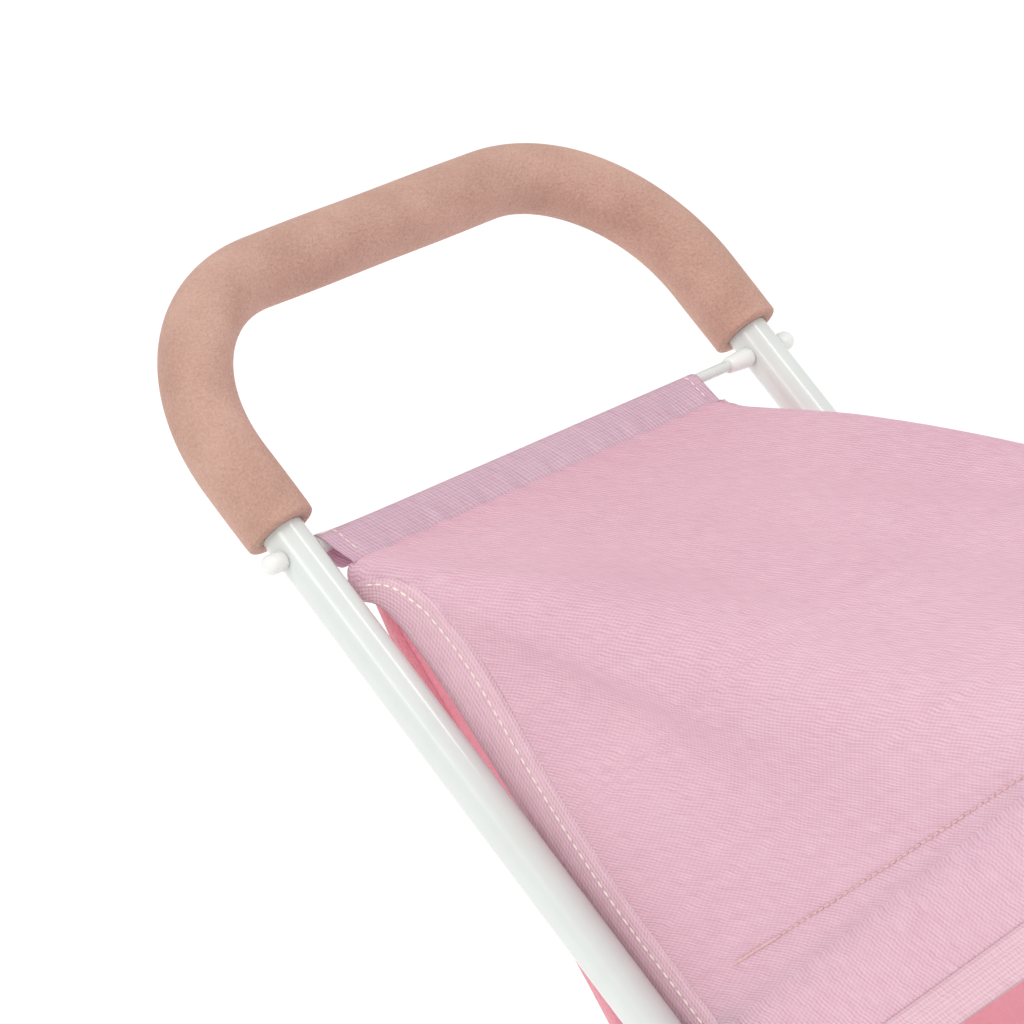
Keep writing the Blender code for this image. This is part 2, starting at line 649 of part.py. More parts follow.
def wheel_pair(corner_name, x_middle, place, parent):
    """Two wheels, each a moulded hub in a tyre, that spin on one axle."""
    spin = pivot(f"{corner_name}_spin", x_middle, place, parent)
    for wheel, sign in (("inner", -1 if x_middle > 0 else 1), ("outer", 1 if x_middle > 0 else -1)):
        x = x_middle + sign * wheel_offset
        turned(f"{corner_name}_{wheel}_hub", hub_profile, x, place, HUB_SIDES, WHITE_PLASTIC, spin)
        turned(f"{corner_name}_{wheel}_tyre", tyre_profile, x, place, WHEEL_SIDES, RUBBER, spin)


# --- Front casters --------------------------------------------------------------------------------------

for side_name, sign in SIDES:
    x = sign * SIDE
    name = f"caster_socket_{side_name}"
    collar_from = along(TUBE_END, LOWER_SLOPE, SOCKET_GRIP)
    collar_to = along(TUBE_END, LOWER_SLOPE, -SOCKET_FOOT)
    collar_radius = TUBE_RADIUS + GAP + SOCKET_WALL
    collar = cylinder_mesh(name, (x, *collar_from), (x, *collar_to), collar_radius)
    socket = piece(name, collar, WHITE_PLASTIC, frame_origin)
    boss_top = BOSS_BOTTOM + BOSS_LENGTH
    boss = cylinder_mesh(name + "_boss", (x, CASTER_Y, BOSS_BOTTOM), (x, CASTER_Y, boss_top), BOSS_RADIUS)
    add(socket, helper(name + "_boss", boss))
    bore_from = along(TUBE_END, LOWER_SLOPE, SOCKET_GRIP + OVERCUT)
    bore_to = along(TUBE_END, LOWER_SLOPE, -GAP)
    bore = cylinder_mesh(name + "_bore", (x, *bore_from), (x, *bore_to), TUBE_RADIUS + GAP)
    cut(socket, helper(name + "_bore", bore))
    stem_top = boss_top - BOSS_ROOF
    hole_foot = (x, CASTER_Y, BOSS_BOTTOM - OVERCUT)
    stem_hole = cylinder_mesh(name + "_stem_hole", hole_foot, (x, CASTER_Y, stem_top), STEM_RADIUS + RUNNING)
    cut(socket, helper(name + "_stem_hole", stem_hole))

    swivel = pivot(f"caster_swivel_{side_name}", x, (CASTER_Y, BOSS_BOTTOM), frame_origin)
    name = f"caster_fork_{side_name}"
    crown_top = BOSS_BOTTOM - GAP
    crown_bottom = crown_top - CROWN_THICKNESS
    neck = ((CASTER_Y, crown_bottom - LEG_EYE_RADIUS + CROWN_THICKNESS / 2), LEG_EYE_RADIUS)
    leg_outline = hull_of_circles([neck, (FRONT_AXLE, LEG_EYE_RADIUS)])
    fork = piece(name, plate_mesh(name, leg_outline, x, LEG_THICKNESS), WHITE_PLASTIC, swivel)
    crown_foot = (x, CASTER_Y, crown_bottom)
    crown = cylinder_mesh(name + "_crown", crown_foot, (x, CASTER_Y, crown_top), CROWN_RADIUS)
    add(fork, helper(name + "_crown", crown))
    stem_foot = (x, CASTER_Y, crown_bottom + CROWN_THICKNESS / 2)
    stem = cylinder_mesh(name + "_stem", stem_foot, (x, CASTER_Y, stem_top - STEM_END_GAP), STEM_RADIUS)
    add(fork, helper(name + "_stem", stem))
    eye_from = x - LEG_THICKNESS
    eye_to = x + LEG_THICKNESS
    eye = cross_bar(name + "_eye", FRONT_AXLE, eye_from, eye_to, AXLE_RADIUS + GAP, sides=12)
    cut(fork, helper(name + "_eye", eye))
    axle(f"front_axle_{side_name}", x, FRONT_AXLE, swivel)
    wheel_pair(f"front_{side_name}", x, FRONT_AXLE, swivel)

# --- Rear axle brackets --------------------------------------------------------------------------------

for side_name, sign in SIDES:
    x = sign * REAR_SIDE
    name = f"axle_bracket_{side_name}"
    leg_outline = hull_of_circles([(REAR_TUBE_END, BRACKET_NECK_RADIUS), (REAR_AXLE, LEG_EYE_RADIUS)])
    bracket = piece(name, plate_mesh(name, leg_outline, x, LEG_THICKNESS), WHITE_PLASTIC, fold_pivot)
    collar_from = along(REAR_TUBE_END, REAR_SLOPE, BRACKET_GRIP)
    collar_to = along(REAR_TUBE_END, REAR_SLOPE, -SOCKET_WALL / 2)
    collar_radius = TUBE_RADIUS + GAP + SOCKET_WALL
    collar = cylinder_mesh(name + "_collar", (x, *collar_from), (x, *collar_to), collar_radius)
    add(bracket, helper(name + "_collar", collar))
    bore_from = along(REAR_TUBE_END, REAR_SLOPE, BRACKET_GRIP + OVERCUT)
    bore_to = along(REAR_TUBE_END, REAR_SLOPE, -GAP)
    bore = cylinder_mesh(name + "_bore", (x, *bore_from), (x, *bore_to), TUBE_RADIUS + GAP)
    cut(bracket, helper(name + "_bore", bore))
    eye_from = x - LEG_THICKNESS
    eye_to = x + LEG_THICKNESS
    eye = cross_bar(name + "_eye", REAR_AXLE, eye_from, eye_to, AXLE_RADIUS + GAP, sides=12)
    cut(bracket, helper(name + "_eye", eye))
    axle(f"rear_axle_{side_name}", x, REAR_AXLE, fold_pivot)
    wheel_pair(f"rear_{side_name}", x, REAR_AXLE, fold_pivot)

# --- Canopy bow and its cloth ---------------------------------------------------------------------------

bow_pivot = pivot("bow_pivot", 0, BOW_PIVOT, frame_origin)
bow_start = along(BOW_PIVOT, BOW_LEAN, KNUCKLE_RADIUS + GAP)
bow_top = along(BOW_PIVOT, BOW_LEAN, BOW_HEIGHT)
bow_path = u_path([], BOW_SIDE, bow_top, BOW_CORNER, [bow_start])
piece("canopy_bow", tube_mesh("canopy_bow", bow_path, BOW_RADIUS, 3), WHITE_PAINT, bow_pivot)
for side_name, sign in SIDES:
    knuckle_x = sign * BOW_SIDE
    knuckle_inner = BOW_SIDE - KNUCKLE_THICKNESS / 2
    name = f"bow_knuckle_{side_name}"
    knuckle_tip = along(BOW_PIVOT, BOW_LEAN, KNUCKLE_LENGTH)
    outline = hull_of_circles([(BOW_PIVOT, KNUCKLE_RADIUS), (knuckle_tip, KNUCKLE_TIP_RADIUS)])
    knuckle = piece(name, plate_mesh(name, outline, knuckle_x, KNUCKLE_THICKNESS), WHITE_PLASTIC, bow_pivot)
    wire_from = along(BOW_PIVOT, BOW_LEAN, KNUCKLE_RADIUS)
    wire_to = along(BOW_PIVOT, BOW_LEAN, 2 * KNUCKLE_LENGTH)
    wire_ends = (knuckle_x, *wire_from), (knuckle_x, *wire_to)
    cut(knuckle, helper(name + "_wire", cylinder_mesh(name + "_wire", *wire_ends, BOW_RADIUS + GAP)))
    pin_from = sign * (knuckle_inner - OVERCUT)
    pin_to = sign * SIDE
    pin_hole = cross_bar(name + "_pin", BOW_PIVOT, pin_from, pin_to, BOW_RIVET_RADIUS + RUNNING, sides=12)
    cut(knuckle, helper(name + "_pin", pin_hole))

    name = f"bow_rivet_{side_name}"
    outer_wall = SIDE + TUBE_RADIUS + GAP
    shank_from = sign * (knuckle_inner - GAP - BOW_RIVET_HEAD / 2)
    shank_to = sign * (outer_wall + BOW_RIVET_HEAD / 2)
    shank = cross_bar(name, BOW_PIVOT, shank_from, shank_to, BOW_RIVET_RADIUS, sides=12)
    rivet = piece(name, shank, STEEL, frame_origin)
    face_radius = BOW_RIVET_HEAD_RADIUS * HEAD_TAPER
    for end, head_at, head_to in (
        ("outer", sign * outer_wall, sign * (outer_wall + BOW_RIVET_HEAD)),
        ("inner", sign * (knuckle_inner - GAP), sign * (knuckle_inner - GAP - BOW_RIVET_HEAD)),
    ):
        head_name = f"{name}_{end}"
        head = cross_bar(head_name, BOW_PIVOT, head_at, head_to, BOW_RIVET_HEAD_RADIUS, face_radius)
        add(rivet, helper(head_name, head))
bow_hole_reach = SIDE + 2 * TUBE_RADIUS
bow_hole_radius = BOW_RIVET_RADIUS + RUNNING
bow_hole = cross_bar("bow_hole", BOW_PIVOT, -bow_hole_reach, bow_hole_reach, bow_hole_radius, sides=12)
cut(main_tube, helper("bow_hole", bow_hole))

cloth_off_wire = BOW_RADIUS + CLOTH_CLEAR + CLOTH / 2
cloth_corner = BOW_CORNER + cloth_off_wire


def lifted(place):
    """A side-view point raised square to the upper tubes' plane by the cloth's side lift."""
    return along(place, UPPER_SLOPE + math.pi / 2, CANOPY_SIDE_LIFT)


def u_section(foot, top, left, right, foot_side, corner, count=34):
    """Points of a U from the left foot over the top to the right foot, evenly spaced by their share."""
    corners = [(-foot_side, *foot), (-left, *top), (right, *top), (foot_side, *foot)]
    path = rounded(corners, [corner, corner], steps=10)
    lengths = [0.0]
    for before, after in zip(path, path[1:]):
        lengths.append(lengths[-1] + (after - before).length)
    shares = np.linspace(0, lengths[-1], count)
    return np.stack([np.interp(shares, lengths, [p[axis] for p in path]) for axis in range(3)], axis=1)


rod_top = along(ROD, UPPER_SLOPE + math.pi / 2, ROD_RADIUS + CLOTH_CLEAR + CLOTH)
foot = lifted(BOW_PIVOT)
# Over the bow the cloth turns from the roof into the visor, clear of the wire on both sides.
roof_slope = math.atan2(bow_top[1] - rod_top[1], bow_top[0] - rod_top[0])
visor_slope = BOW_LEAN + math.pi / 2 - VISOR_LIFT
crest = (roof_slope + visor_slope - math.pi) / 2
bow_cloth_top = along(bow_top, crest, cloth_off_wire / math.cos((visor_slope - roof_slope) / 2))
hem_foot = along(foot, UPPER_SLOPE, -CANOPY_SIDE_AHEAD)
hem_top = along(bow_cloth_top, visor_slope, CANOPY_VISOR)
rod_foot = along(foot, UPPER_SLOPE, CANOPY_FAN_FOOT)
sleeve_left = TUBE_INNER - SLEEVE_LEFT_SHORT
sleeve_right = TUBE_INNER - SLEEVE_RIGHT_SHORT
rod_section = u_section(rod_foot, rod_top, sleeve_left, sleeve_right, CLOTH_SIDE, CANOPY_ROD_CORNER)
bow_section = u_section(foot, bow_cloth_top, CLOTH_SIDE, CLOTH_SIDE, CLOTH_SIDE, cloth_corner)
hem_section = u_section(hem_foot, hem_top, CLOTH_SIDE, CLOTH_SIDE, CLOTH_SIDE, cloth_corner)
canopy_rows = [rod_section + (bow_section - rod_section) * share for share in np.linspace(0, 1, 7)]
canopy_rows += [bow_section + (hem_section - bow_section) * share for share in np.linspace(0, 1, 3)[1:]]
solid_sheet("canopy_fabric", canopy_rows, CLOTH, CANOPY_CLOTH, bow_pivot)

# --- Seat sling: back on the main frame, base on the rear frame -----------------------------------------


def sling_rows(start, end, start_half, end_half, sag, count=7):
    """Rows of a sling from start to end, which hangs by sag at its middle."""
    rows = []
    run = (end[0] - start[0], end[1] - start[1])
    length = math.hypot(*run)
    below = (run[1] / length, -run[0] / length)
    if below[1] > 0:
        below = (-below[0], -below[1])
    for share in np.linspace(0, 1, count):
        half_width = start_half + (end_half - start_half) * share
        hang = 4 * sag * share * (1 - share)
        y = start[0] + run[0] * share + below[0] * hang
        z = start[1] + run[1] * share + below[1] * hang
        rows.append([(x, y, z) for x in np.linspace(-half_width, half_width, 5)])
    return rows


back_top = along(ROD, UPPER_SLOPE - math.pi / 2, ROD_RADIUS + SEAT_CLOTH / 2 + CLOTH_CLEAR + CLOTH)
back_angle = math.atan2(SEAT_BIGHT[1] - back_top[1], SEAT_BIGHT[0] - back_top[0])
back_end = along(SEAT_BIGHT, back_angle, -SEAT_SEAM_GAP)
back_half = SIDE - SEAT_BACK_INSET
back_rows = sling_rows(back_top, back_end, back_half - ROD_BUSH_LENGTH, back_half, SEAT_SAG)
solid_sheet("seat_back", back_rows, SEAT_CLOTH, SEAT_CLOTH_FINISH, frame_origin)

base_angle = math.atan2(SEAT_BAR[1] - SEAT_BIGHT[1], SEAT_BAR[0] - SEAT_BIGHT[0])
base_start = along(SEAT_BIGHT, base_angle, SEAT_SEAM_GAP)
base_end = along(SEAT_BAR, math.pi / 2, TUBE_RADIUS + SEAT_CLOTH / 2 + CLOTH_CLEAR)
base_half = back_half - SEAT_BASE_NARROWER
base_rows = sling_rows(base_start, base_end, base_half, REAR_SIDE - SEAT_BASE_INSET, SEAT_SAG)
solid_sheet("seat_base", base_rows, SEAT_CLOTH, SEAT_CLOTH_FINISH, fold_pivot)

# --- Origin under the middle of the bounding box --------------------------------------------------------

bpy.context.view_layer.update()
graph = bpy.context.evaluated_depsgraph_get()
reach = []
for obj in stroller.objects:
    if obj.type == "MESH":
        evaluated = obj.evaluated_get(graph)
        reach += [(evaluated.matrix_world @ Vector(corner)).y for corner in evaluated.bound_box]
frame_origin.location.y = -(min(reach) + max(reach)) / 2
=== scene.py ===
"""Folding doll stroller: how its tubes, foam, moulded parts and sewn cloth look.

The stroller faces -Y, its right side is +X, +Z is up, and everything is in metres. Sections follow the
order in which it is put together: main frame, grip, rod, moulded joints, wheels, rear frame, bow,
canopy, seat. The camera, the light and the floor come last.
"""

import json
import math

import bpy
import numpy as np
from mathutils import Matrix, Vector


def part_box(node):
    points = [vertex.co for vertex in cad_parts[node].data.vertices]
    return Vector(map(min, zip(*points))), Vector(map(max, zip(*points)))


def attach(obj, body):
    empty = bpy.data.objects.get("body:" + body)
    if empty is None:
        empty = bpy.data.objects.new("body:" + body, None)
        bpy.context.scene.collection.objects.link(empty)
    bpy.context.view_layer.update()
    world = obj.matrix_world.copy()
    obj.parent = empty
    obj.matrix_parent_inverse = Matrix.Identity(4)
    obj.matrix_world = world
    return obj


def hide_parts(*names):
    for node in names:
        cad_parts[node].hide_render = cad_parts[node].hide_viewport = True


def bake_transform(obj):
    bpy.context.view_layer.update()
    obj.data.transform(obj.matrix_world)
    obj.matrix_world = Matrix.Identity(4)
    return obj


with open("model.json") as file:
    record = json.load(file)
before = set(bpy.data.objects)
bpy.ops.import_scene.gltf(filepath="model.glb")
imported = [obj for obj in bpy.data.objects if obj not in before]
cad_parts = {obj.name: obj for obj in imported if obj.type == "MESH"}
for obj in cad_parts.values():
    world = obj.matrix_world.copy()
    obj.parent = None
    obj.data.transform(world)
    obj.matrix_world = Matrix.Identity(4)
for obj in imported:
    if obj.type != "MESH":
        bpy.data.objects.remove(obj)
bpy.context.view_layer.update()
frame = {"nodes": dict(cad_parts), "record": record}

# --- Main frame -----------------------------------------------------------------------------------
# One steel tube of 15 mm, bent in a U over the handle and at a knee in each side, and powder coated
# gloss white. The rear frame, a second and smaller U, and both cross tubes are the same stock.

MM = 0.001
tube_radius = 7.5 * MM
upper_slope = math.radians(40)
lower_slope = math.radians(62)
joint_places = {joint["name"]: np.array(joint["pos_m"]) for joint in frame["record"]["behaviour"]["joints"]}
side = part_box("main_frame_tube")[1][0] - tube_radius
fold_hinge = joint_places["frame_fold"]
up_tube = np.array([0, math.cos(upper_slope), math.sin(upper_slope)])
over_tube = np.array([0, -math.sin(upper_slope), math.cos(upper_slope)])
up_leg = np.array([0, math.cos(lower_slope), math.sin(lower_slope)])
knee = fold_hinge + 120 * MM * up_leg
top_bar = knee + 330 * MM * up_tube
leg_end = knee - 270 * MM * up_leg
bow_hinge = knee + 25 * MM * up_tube
handle_bend = 63 * MM
knee_bend = 80 * MM


def bent_path(corners, radii, step):
    """Points along straight runs whose inner corners are arcs of the given radii, step apart in an arc.

    Each arc is centre + sin((1-t)A)/sin(A) * first + sin(tA)/sin(A) * last, for t from 0 to 1, where A is
    the angle that the arc turns through and first and last are its end spokes."""
    corners = [np.array(corner, float) for corner in corners]
    runs = [corners[0][None]]
    for before, corner, after, radius in zip(corners, corners[1:], corners[2:], radii):
        back = (before - corner) / np.linalg.norm(before - corner)
        ahead = (after - corner) / np.linalg.norm(after - corner)
        half = math.acos(np.clip(back @ ahead, -1, 1)) / 2
        bisector = (back + ahead) / np.linalg.norm(back + ahead)
        centre = corner + bisector * radius / math.sin(half)
        first = corner + back * radius / math.tan(half) - centre
        last = corner + ahead * radius / math.tan(half) - centre
        turn = math.pi - 2 * half
        t = np.linspace(0, 1, max(4, int(radius * turn / step)))[:, None]
        runs.append(centre + (np.sin((1 - t) * turn) * first + np.sin(t * turn) * last) / math.sin(turn))
    runs.append(corners[-1][None])
    return np.concatenate(runs)


def u_corners(half_width, top, feet):
    """Corners of a U: up the left side through feet, over at top, and down the right side."""
    left = [(-half_width, foot[1], foot[2]) for foot in feet]
    right = [(half_width, foot[1], foot[2]) for foot in feet[::-1]]
    return [*left, (-half_width, top[1], top[2]), (half_width, top[1], top[2]), *right]


def surface(name, points, around=False, along=False, caps=False):
    """A smooth mesh on a grid of points (rows, columns, 3). around and along join the grid's ends to
    its starts, and caps closes the first and last row with a fan to their middles."""
    rows, columns = points.shape[:2]
    index = np.arange(rows * columns).reshape(rows, columns)
    below = np.roll(index, -1, axis=0) if along else index[1:]
    above = index if along else index[:-1]
    if around:
        quads = np.stack([above, np.roll(above, -1, axis=1), np.roll(below, -1, axis=1), below], axis=-1)
    else:
        quads = np.stack([above[:, :-1], above[:, 1:], below[:, 1:], below[:, :-1]], axis=-1)
    faces = quads.reshape(-1, 4).tolist()
    vertices = points.reshape(-1, 3)
    if caps:
        vertices = np.concatenate([vertices, points[:1].mean(axis=1), points[-1:].mean(axis=1)])
        first = rows * columns
        start, end = index[0], index[-1]
        faces += np.stack([np.roll(start, -1), start, np.full(columns, first)], axis=-1).tolist()
        faces += np.stack([end, np.roll(end, -1), np.full(columns, first + 1)], axis=-1).tolist()
    mesh = bpy.data.meshes.new(name)
    mesh.from_pydata(vertices.tolist(), [], faces)
    mesh.shade_smooth()
    made = bpy.data.objects.new(name, mesh)
    bpy.context.scene.collection.objects.link(made)
    return made


def tube_rings(path, plane_normal, radii, sides):
    """Rings of points round a path: path + radius * (cos(a) * N + sin(a) * B), where T is the path's
    direction, N is plane_normal squared up to T, and B is their cross product."""
    tangents = np.gradient(path, axis=0)
    tangents /= np.linalg.norm(tangents, axis=1, keepdims=True)
    spokes = plane_normal - (tangents @ plane_normal)[:, None] * tangents
    spokes /= np.linalg.norm(spokes, axis=1, keepdims=True)
    others = np.cross(tangents, spokes)
    angle = np.linspace(0, 2 * math.pi, sides, endpoint=False)
    radii = np.broadcast_to(radii, len(path))[:, None, None]
    ring = np.cos(angle)[None, :, None] * spokes[:, None] + np.sin(angle)[None, :, None] * others[:, None]
    return path[:, None] + radii * ring


def linear(colour):
    """An sRGB hex colour as linear RGBA."""
    parts = np.array([int(colour[i : i + 2], 16) for i in (1, 3, 5)]) / 255
    parts = np.where(parts <= 0.04045, parts / 12.92, ((parts + 0.055) / 1.055) ** 2.4)
    return (*parts.tolist(), 1)


def add_node(material, kind, inputs=None, **settings):
    """Adds a node to a material. inputs maps a socket's name or number to a value or to a socket."""
    node = material.node_tree.nodes.new(kind)
    for name, value in settings.items():
        setattr(node, name, value)
    for name, value in (inputs or {}).items():
        if isinstance(value, bpy.types.NodeSocket):
            material.node_tree.links.new(value, node.inputs[name])
        else:
            node.inputs[name].default_value = value
    return node


def start_finish(name, values):
    """A material with its shader's own sockets set. Returns the material and its shader."""
    material = bpy.data.materials.new(name)
    material.use_nodes = True
    shader = material.node_tree.nodes["Principled BSDF"]
    for socket, value in values.items():
        shader.inputs[socket].default_value = value
    return material, shader


def mottle(material, shader, dark, light, scale, bump, depth, fine=4.0):
    """Colour between two shades by soft noise, and a bump of finer noise."""
    place = add_node(material, "ShaderNodeTexCoord").outputs["Object"]
    cloud = add_node(material, "ShaderNodeTexNoise", {"Vector": place, "Scale": scale, "Detail": 3.0})
    mixed = add_node(material, "ShaderNodeMix", {"Factor": cloud.outputs["Fac"]}, data_type="RGBA")
    # A colour mix keeps its two colours in inputs 6 and 7, and gives its result in output 2.
    mixed.inputs[6].default_value = linear(dark)
    mixed.inputs[7].default_value = linear(light)
    material.node_tree.links.new(mixed.outputs[2], shader.inputs["Base Color"])
    grain = add_node(material, "ShaderNodeTexNoise", {"Vector": place, "Scale": scale * fine, "Detail": 2.0})
    relief = add_node(
        material, "ShaderNodeBump", {"Height": grain.outputs["Fac"], "Strength": bump, "Distance": depth}
    )
    material.node_tree.links.new(relief.outputs["Normal"], shader.inputs["Normal"])


# Powder coat on steel: a gloss white film with a faint orange peel of about 1.5 mm.
powder_coat, shader = start_finish("white_powder_coat", {"Roughness": 0.24, "IOR": 1.5, "Coat Weight": 0.35})
shader.inputs["Coat Roughness"].default_value = 0.12
mottle(powder_coat, shader, "#d5d9d5", "#dce0dc", 90.0, 0.04, 0.0002, fine=6.0)


def fit(piece, material, body, *nodes):
    """Gives a finished piece its material, rides it on a body and lets it stand for CAD nodes."""
    piece.data.materials.clear()
    piece.data.materials.append(material)
    if body:
        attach(piece, body)
    if nodes:
        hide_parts(*nodes)
    return piece


main_path = bent_path(
    u_corners(side, top_bar, [leg_end, knee]), [knee_bend, handle_bend, handle_bend, knee_bend], 2.5 * MM
)
main_tube = surface("main_tube", tube_rings(main_path, over_tube, tube_radius, 40), around=True, caps=True)
fit(main_tube, powder_coat, "main_frame", "main_frame_tube")

for node_name in ("front_cross_tube", "rear_cross_tube"):
    low, high = (np.array(corner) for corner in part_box(node_name))
    middle = (low + high) / 2
    radius = (high[2] - low[2]) / 2
    line = np.linspace((low[0], *middle[1:]), (high[0], *middle[1:]), 5)
    cross = surface(f"{node_name}_round", tube_rings(line, over_tube, radius, 32), around=True, caps=True)
    fit(cross, powder_coat, "main_frame" if node_name.startswith("front") else "rear_frame", node_name)

# --- Foam grip ------------------------------------------------------------------------------------
# A sleeve of closed-cell NBR foam, pushed over the U and cut square at both ends. The skin is matte,
# dusty terracotta pink, with a fine pebbled grain and cells that show as pin pricks.

foam_radius = 12.6 * MM
foam_arm = 89 * MM
foam_rounding = 1.2 * MM
foam_start = top_bar - foam_arm * up_tube


def foam_sleeve():
    """A tube whose radius follows the foam's wall: out over the rounded rim, along the skin with slow
    waves of up to 0.16 mm, over the other rim, and back along the bore."""
    corners = u_corners(side, top_bar, [foam_start])
    path = bent_path(corners, [handle_bend, handle_bend], 2 * MM)
    reach = np.concatenate([[0], np.cumsum(np.linalg.norm(np.diff(path, axis=0), axis=1))])
    rim = np.linspace(0, math.pi / 2, 7)
    depth = np.concatenate([[0.0], foam_rounding * (1 - np.cos(rim))])
    at_rim = np.concatenate([[tube_radius + 0.1 * MM], foam_radius - foam_rounding * (1 - np.sin(rim))])
    inner_stations = np.arange(foam_rounding + 2 * MM, reach[-1] - foam_rounding - 1 * MM, 2 * MM)
    stations = np.concatenate([depth, inner_stations, reach[-1] - depth[::-1]])
    waves = 0.08 * MM * (np.sin(inner_stations * 95) + np.sin(inner_stations * 41 + 1.3))
    radii = np.concatenate([at_rim, foam_radius + waves, at_rim[::-1]])
    bore = np.linspace(reach[-1] - 1 * MM, 1 * MM, 40)
    stations = np.concatenate([stations, bore])
    radii = np.concatenate([radii, np.full(len(bore), tube_radius + 0.1 * MM)])
    centres = np.stack([np.interp(stations, reach, path[:, axis]) for axis in range(3)], axis=1)
    ahead = np.stack([np.interp(stations + 0.5 * MM, reach, path[:, axis]) for axis in range(3)], axis=1)
    behind = np.stack([np.interp(stations - 0.5 * MM, reach, path[:, axis]) for axis in range(3)], axis=1)
    tangents = (ahead - behind) / np.linalg.norm(ahead - behind, axis=1, keepdims=True)
    others = np.cross(tangents, over_tube)
    angle = np.linspace(0, 2 * math.pi, 64, endpoint=False)
    ring = np.cos(angle)[None, :, None] * over_tube + np.sin(angle)[None, :, None] * others[:, None]
    return centres[:, None] + radii[:, None, None] * ring


grip = surface("foam_sleeve", foam_sleeve(), around=True, along=True)
foam_skin, shader = start_finish("nbr_foam", {"Roughness": 0.82, "IOR": 1.45, "Sheen Weight": 0.25})
shader.inputs["Sheen Roughness"].default_value = 0.6
shader.inputs["Sheen Tint"].default_value = linear("#f0d6cc")
place = add_node(foam_skin, "ShaderNodeTexCoord").outputs["Object"]
# Grain of about 0.9 mm, cells of about 0.6 mm, and slow colour drift over a few centimetres.
drift = add_node(foam_skin, "ShaderNodeTexNoise", {"Vector": place, "Scale": 45.0, "Detail": 4.0})
grain = add_node(foam_skin, "ShaderNodeTexNoise", {"Vector": place, "Scale": 1100.0, "Detail": 3.0})
cells = add_node(foam_skin, "ShaderNodeTexVoronoi", {"Vector": place, "Scale": 900.0})
shade = add_node(
    foam_skin, "ShaderNodeMath", {0: drift.outputs["Fac"], 1: grain.outputs["Fac"]}, operation="ADD"
)
ramp = add_node(foam_skin, "ShaderNodeValToRGB", {"Fac": add_node(
    foam_skin, "ShaderNodeMath", {0: shade.outputs[0], 1: 0.5}, operation="MULTIPLY").outputs[0]})
ramp.color_ramp.elements[0].position = 0.36
ramp.color_ramp.elements[0].color = linear("#b48b7b")
ramp.color_ramp.elements[1].position = 0.62
ramp.color_ramp.elements[1].color = linear("#c9a191")
foam_skin.node_tree.links.new(ramp.outputs["Color"], shader.inputs["Base Color"])
pebble = add_node(
    foam_skin, "ShaderNodeMath", {0: grain.outputs["Fac"], 1: cells.outputs["Distance"]}, operation="ADD"
)
relief = add_node(
    foam_skin, "ShaderNodeBump", {"Height": pebble.outputs[0], "Strength": 0.6, "Distance": 0.0006}
)
foam_skin.node_tree.links.new(relief.outputs["Normal"], shader.inputs["Normal"])
fit(grip, foam_skin, "main_frame", "foam_grip")

# --- Canopy rod -----------------------------------------------------------------------------------
# A 4 mm steel rod through both tubes just under the foam. A round-nosed white cap is pressed on each
# end outside, and a tapered white bush fills the hole on the inside.

rod_low, rod_high = (np.array(corner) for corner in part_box("top_rod"))
rod_place = (rod_low + rod_high) / 2
rod_radius = 2 * MM
rod_line = np.linspace((rod_low[0], *rod_place[1:]), (rod_high[0], *rod_place[1:]), 9)
rod = surface("canopy_rod", tube_rings(rod_line, over_tube, rod_radius, 24), around=True, caps=True)
fit(rod, powder_coat, "main_frame", "top_rod")

# Injection-moulded polypropylene: white, satin, with the soft mottle of a textured mould.
moulded_white, shader = start_finish("moulded_polypropylene", {"Roughness": 0.34, "IOR": 1.49})
mottle(moulded_white, shader, "#e6e7e3", "#eff0ec", 120.0, 0.08, 0.0002, fine=5.0)


def turned_along_x(name, profile, centre, outward, sides=48):
    """A body turned about an axis along X. The profile is pairs (distance along X, radius), carried
    round in a full circle: centre + (outward * distance, radius * cos(a), radius * sin(a))."""
    profile = np.array(profile)
    angle = np.linspace(0, 2 * math.pi, sides, endpoint=False) * outward
    points = np.empty((len(profile), sides, 3))
    points[..., 0] = centre[0] + outward * profile[:, :1]
    points[..., 1] = centre[1] + profile[:, 1:] * np.cos(angle)
    points[..., 2] = centre[2] + profile[:, 1:] * np.sin(angle)
    return surface(name, points[::-1], around=True, caps=True)


nose = np.linspace(0, math.pi / 2, 9)[:-1]
for side_name, sign in (("left", -1), ("right", 1)):
    low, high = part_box(f"rod_cap_{side_name}")
    length = high[0] - low[0]
    radius = 3.5 * MM
    foot = (low[0] if sign > 0 else high[0], *rod_place[1:])
    shoulder = [(length - radius + radius * math.sin(a), radius * math.cos(a)) for a in nose]
    cap_profile = [(0, radius * 0.82), (0.5 * MM, radius), *shoulder, (length, 0.2 * MM)]
    cap = turned_along_x(f"rod_end_cap_{side_name}", cap_profile, foot, sign)
    fit(cap, moulded_white, "main_frame", f"rod_cap_{side_name}")

    low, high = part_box(f"rod_bush_{side_name}")
    length = high[0] - low[0]
    foot = (high[0] if sign > 0 else low[0], *rod_place[1:])
    bush_profile = [
        (0, 3.2 * MM),
        (0.4 * MM, 3.5 * MM),
        (4 * MM, 3.45 * MM),
        (length - 1.2 * MM, 2.95 * MM),
        (length - 0.4 * MM, 2.8 * MM),
        (length, 2.4 * MM),
    ]
    bush = turned_along_x(f"rod_inner_bush_{side_name}", bush_profile, foot, -sign)
    fit(bush, moulded_white, "main_frame", f"rod_bush_{side_name}")

# --- Moulded joints and fasteners -----------------------------------------------------------------
# Caster sockets, forks, axle brackets, lock plates, spacers and bow knuckles are moulded white
# polypropylene. Rivets, axles, studs and screws are zinc-plated steel.

zinc_plate, shader = start_finish("zinc_plated_steel", {"Metallic": 1.0, "Roughness": 0.3})
mottle(zinc_plate, shader, "#b9bbbd", "#cfd0d1", 240.0, 0.05, 0.0001)

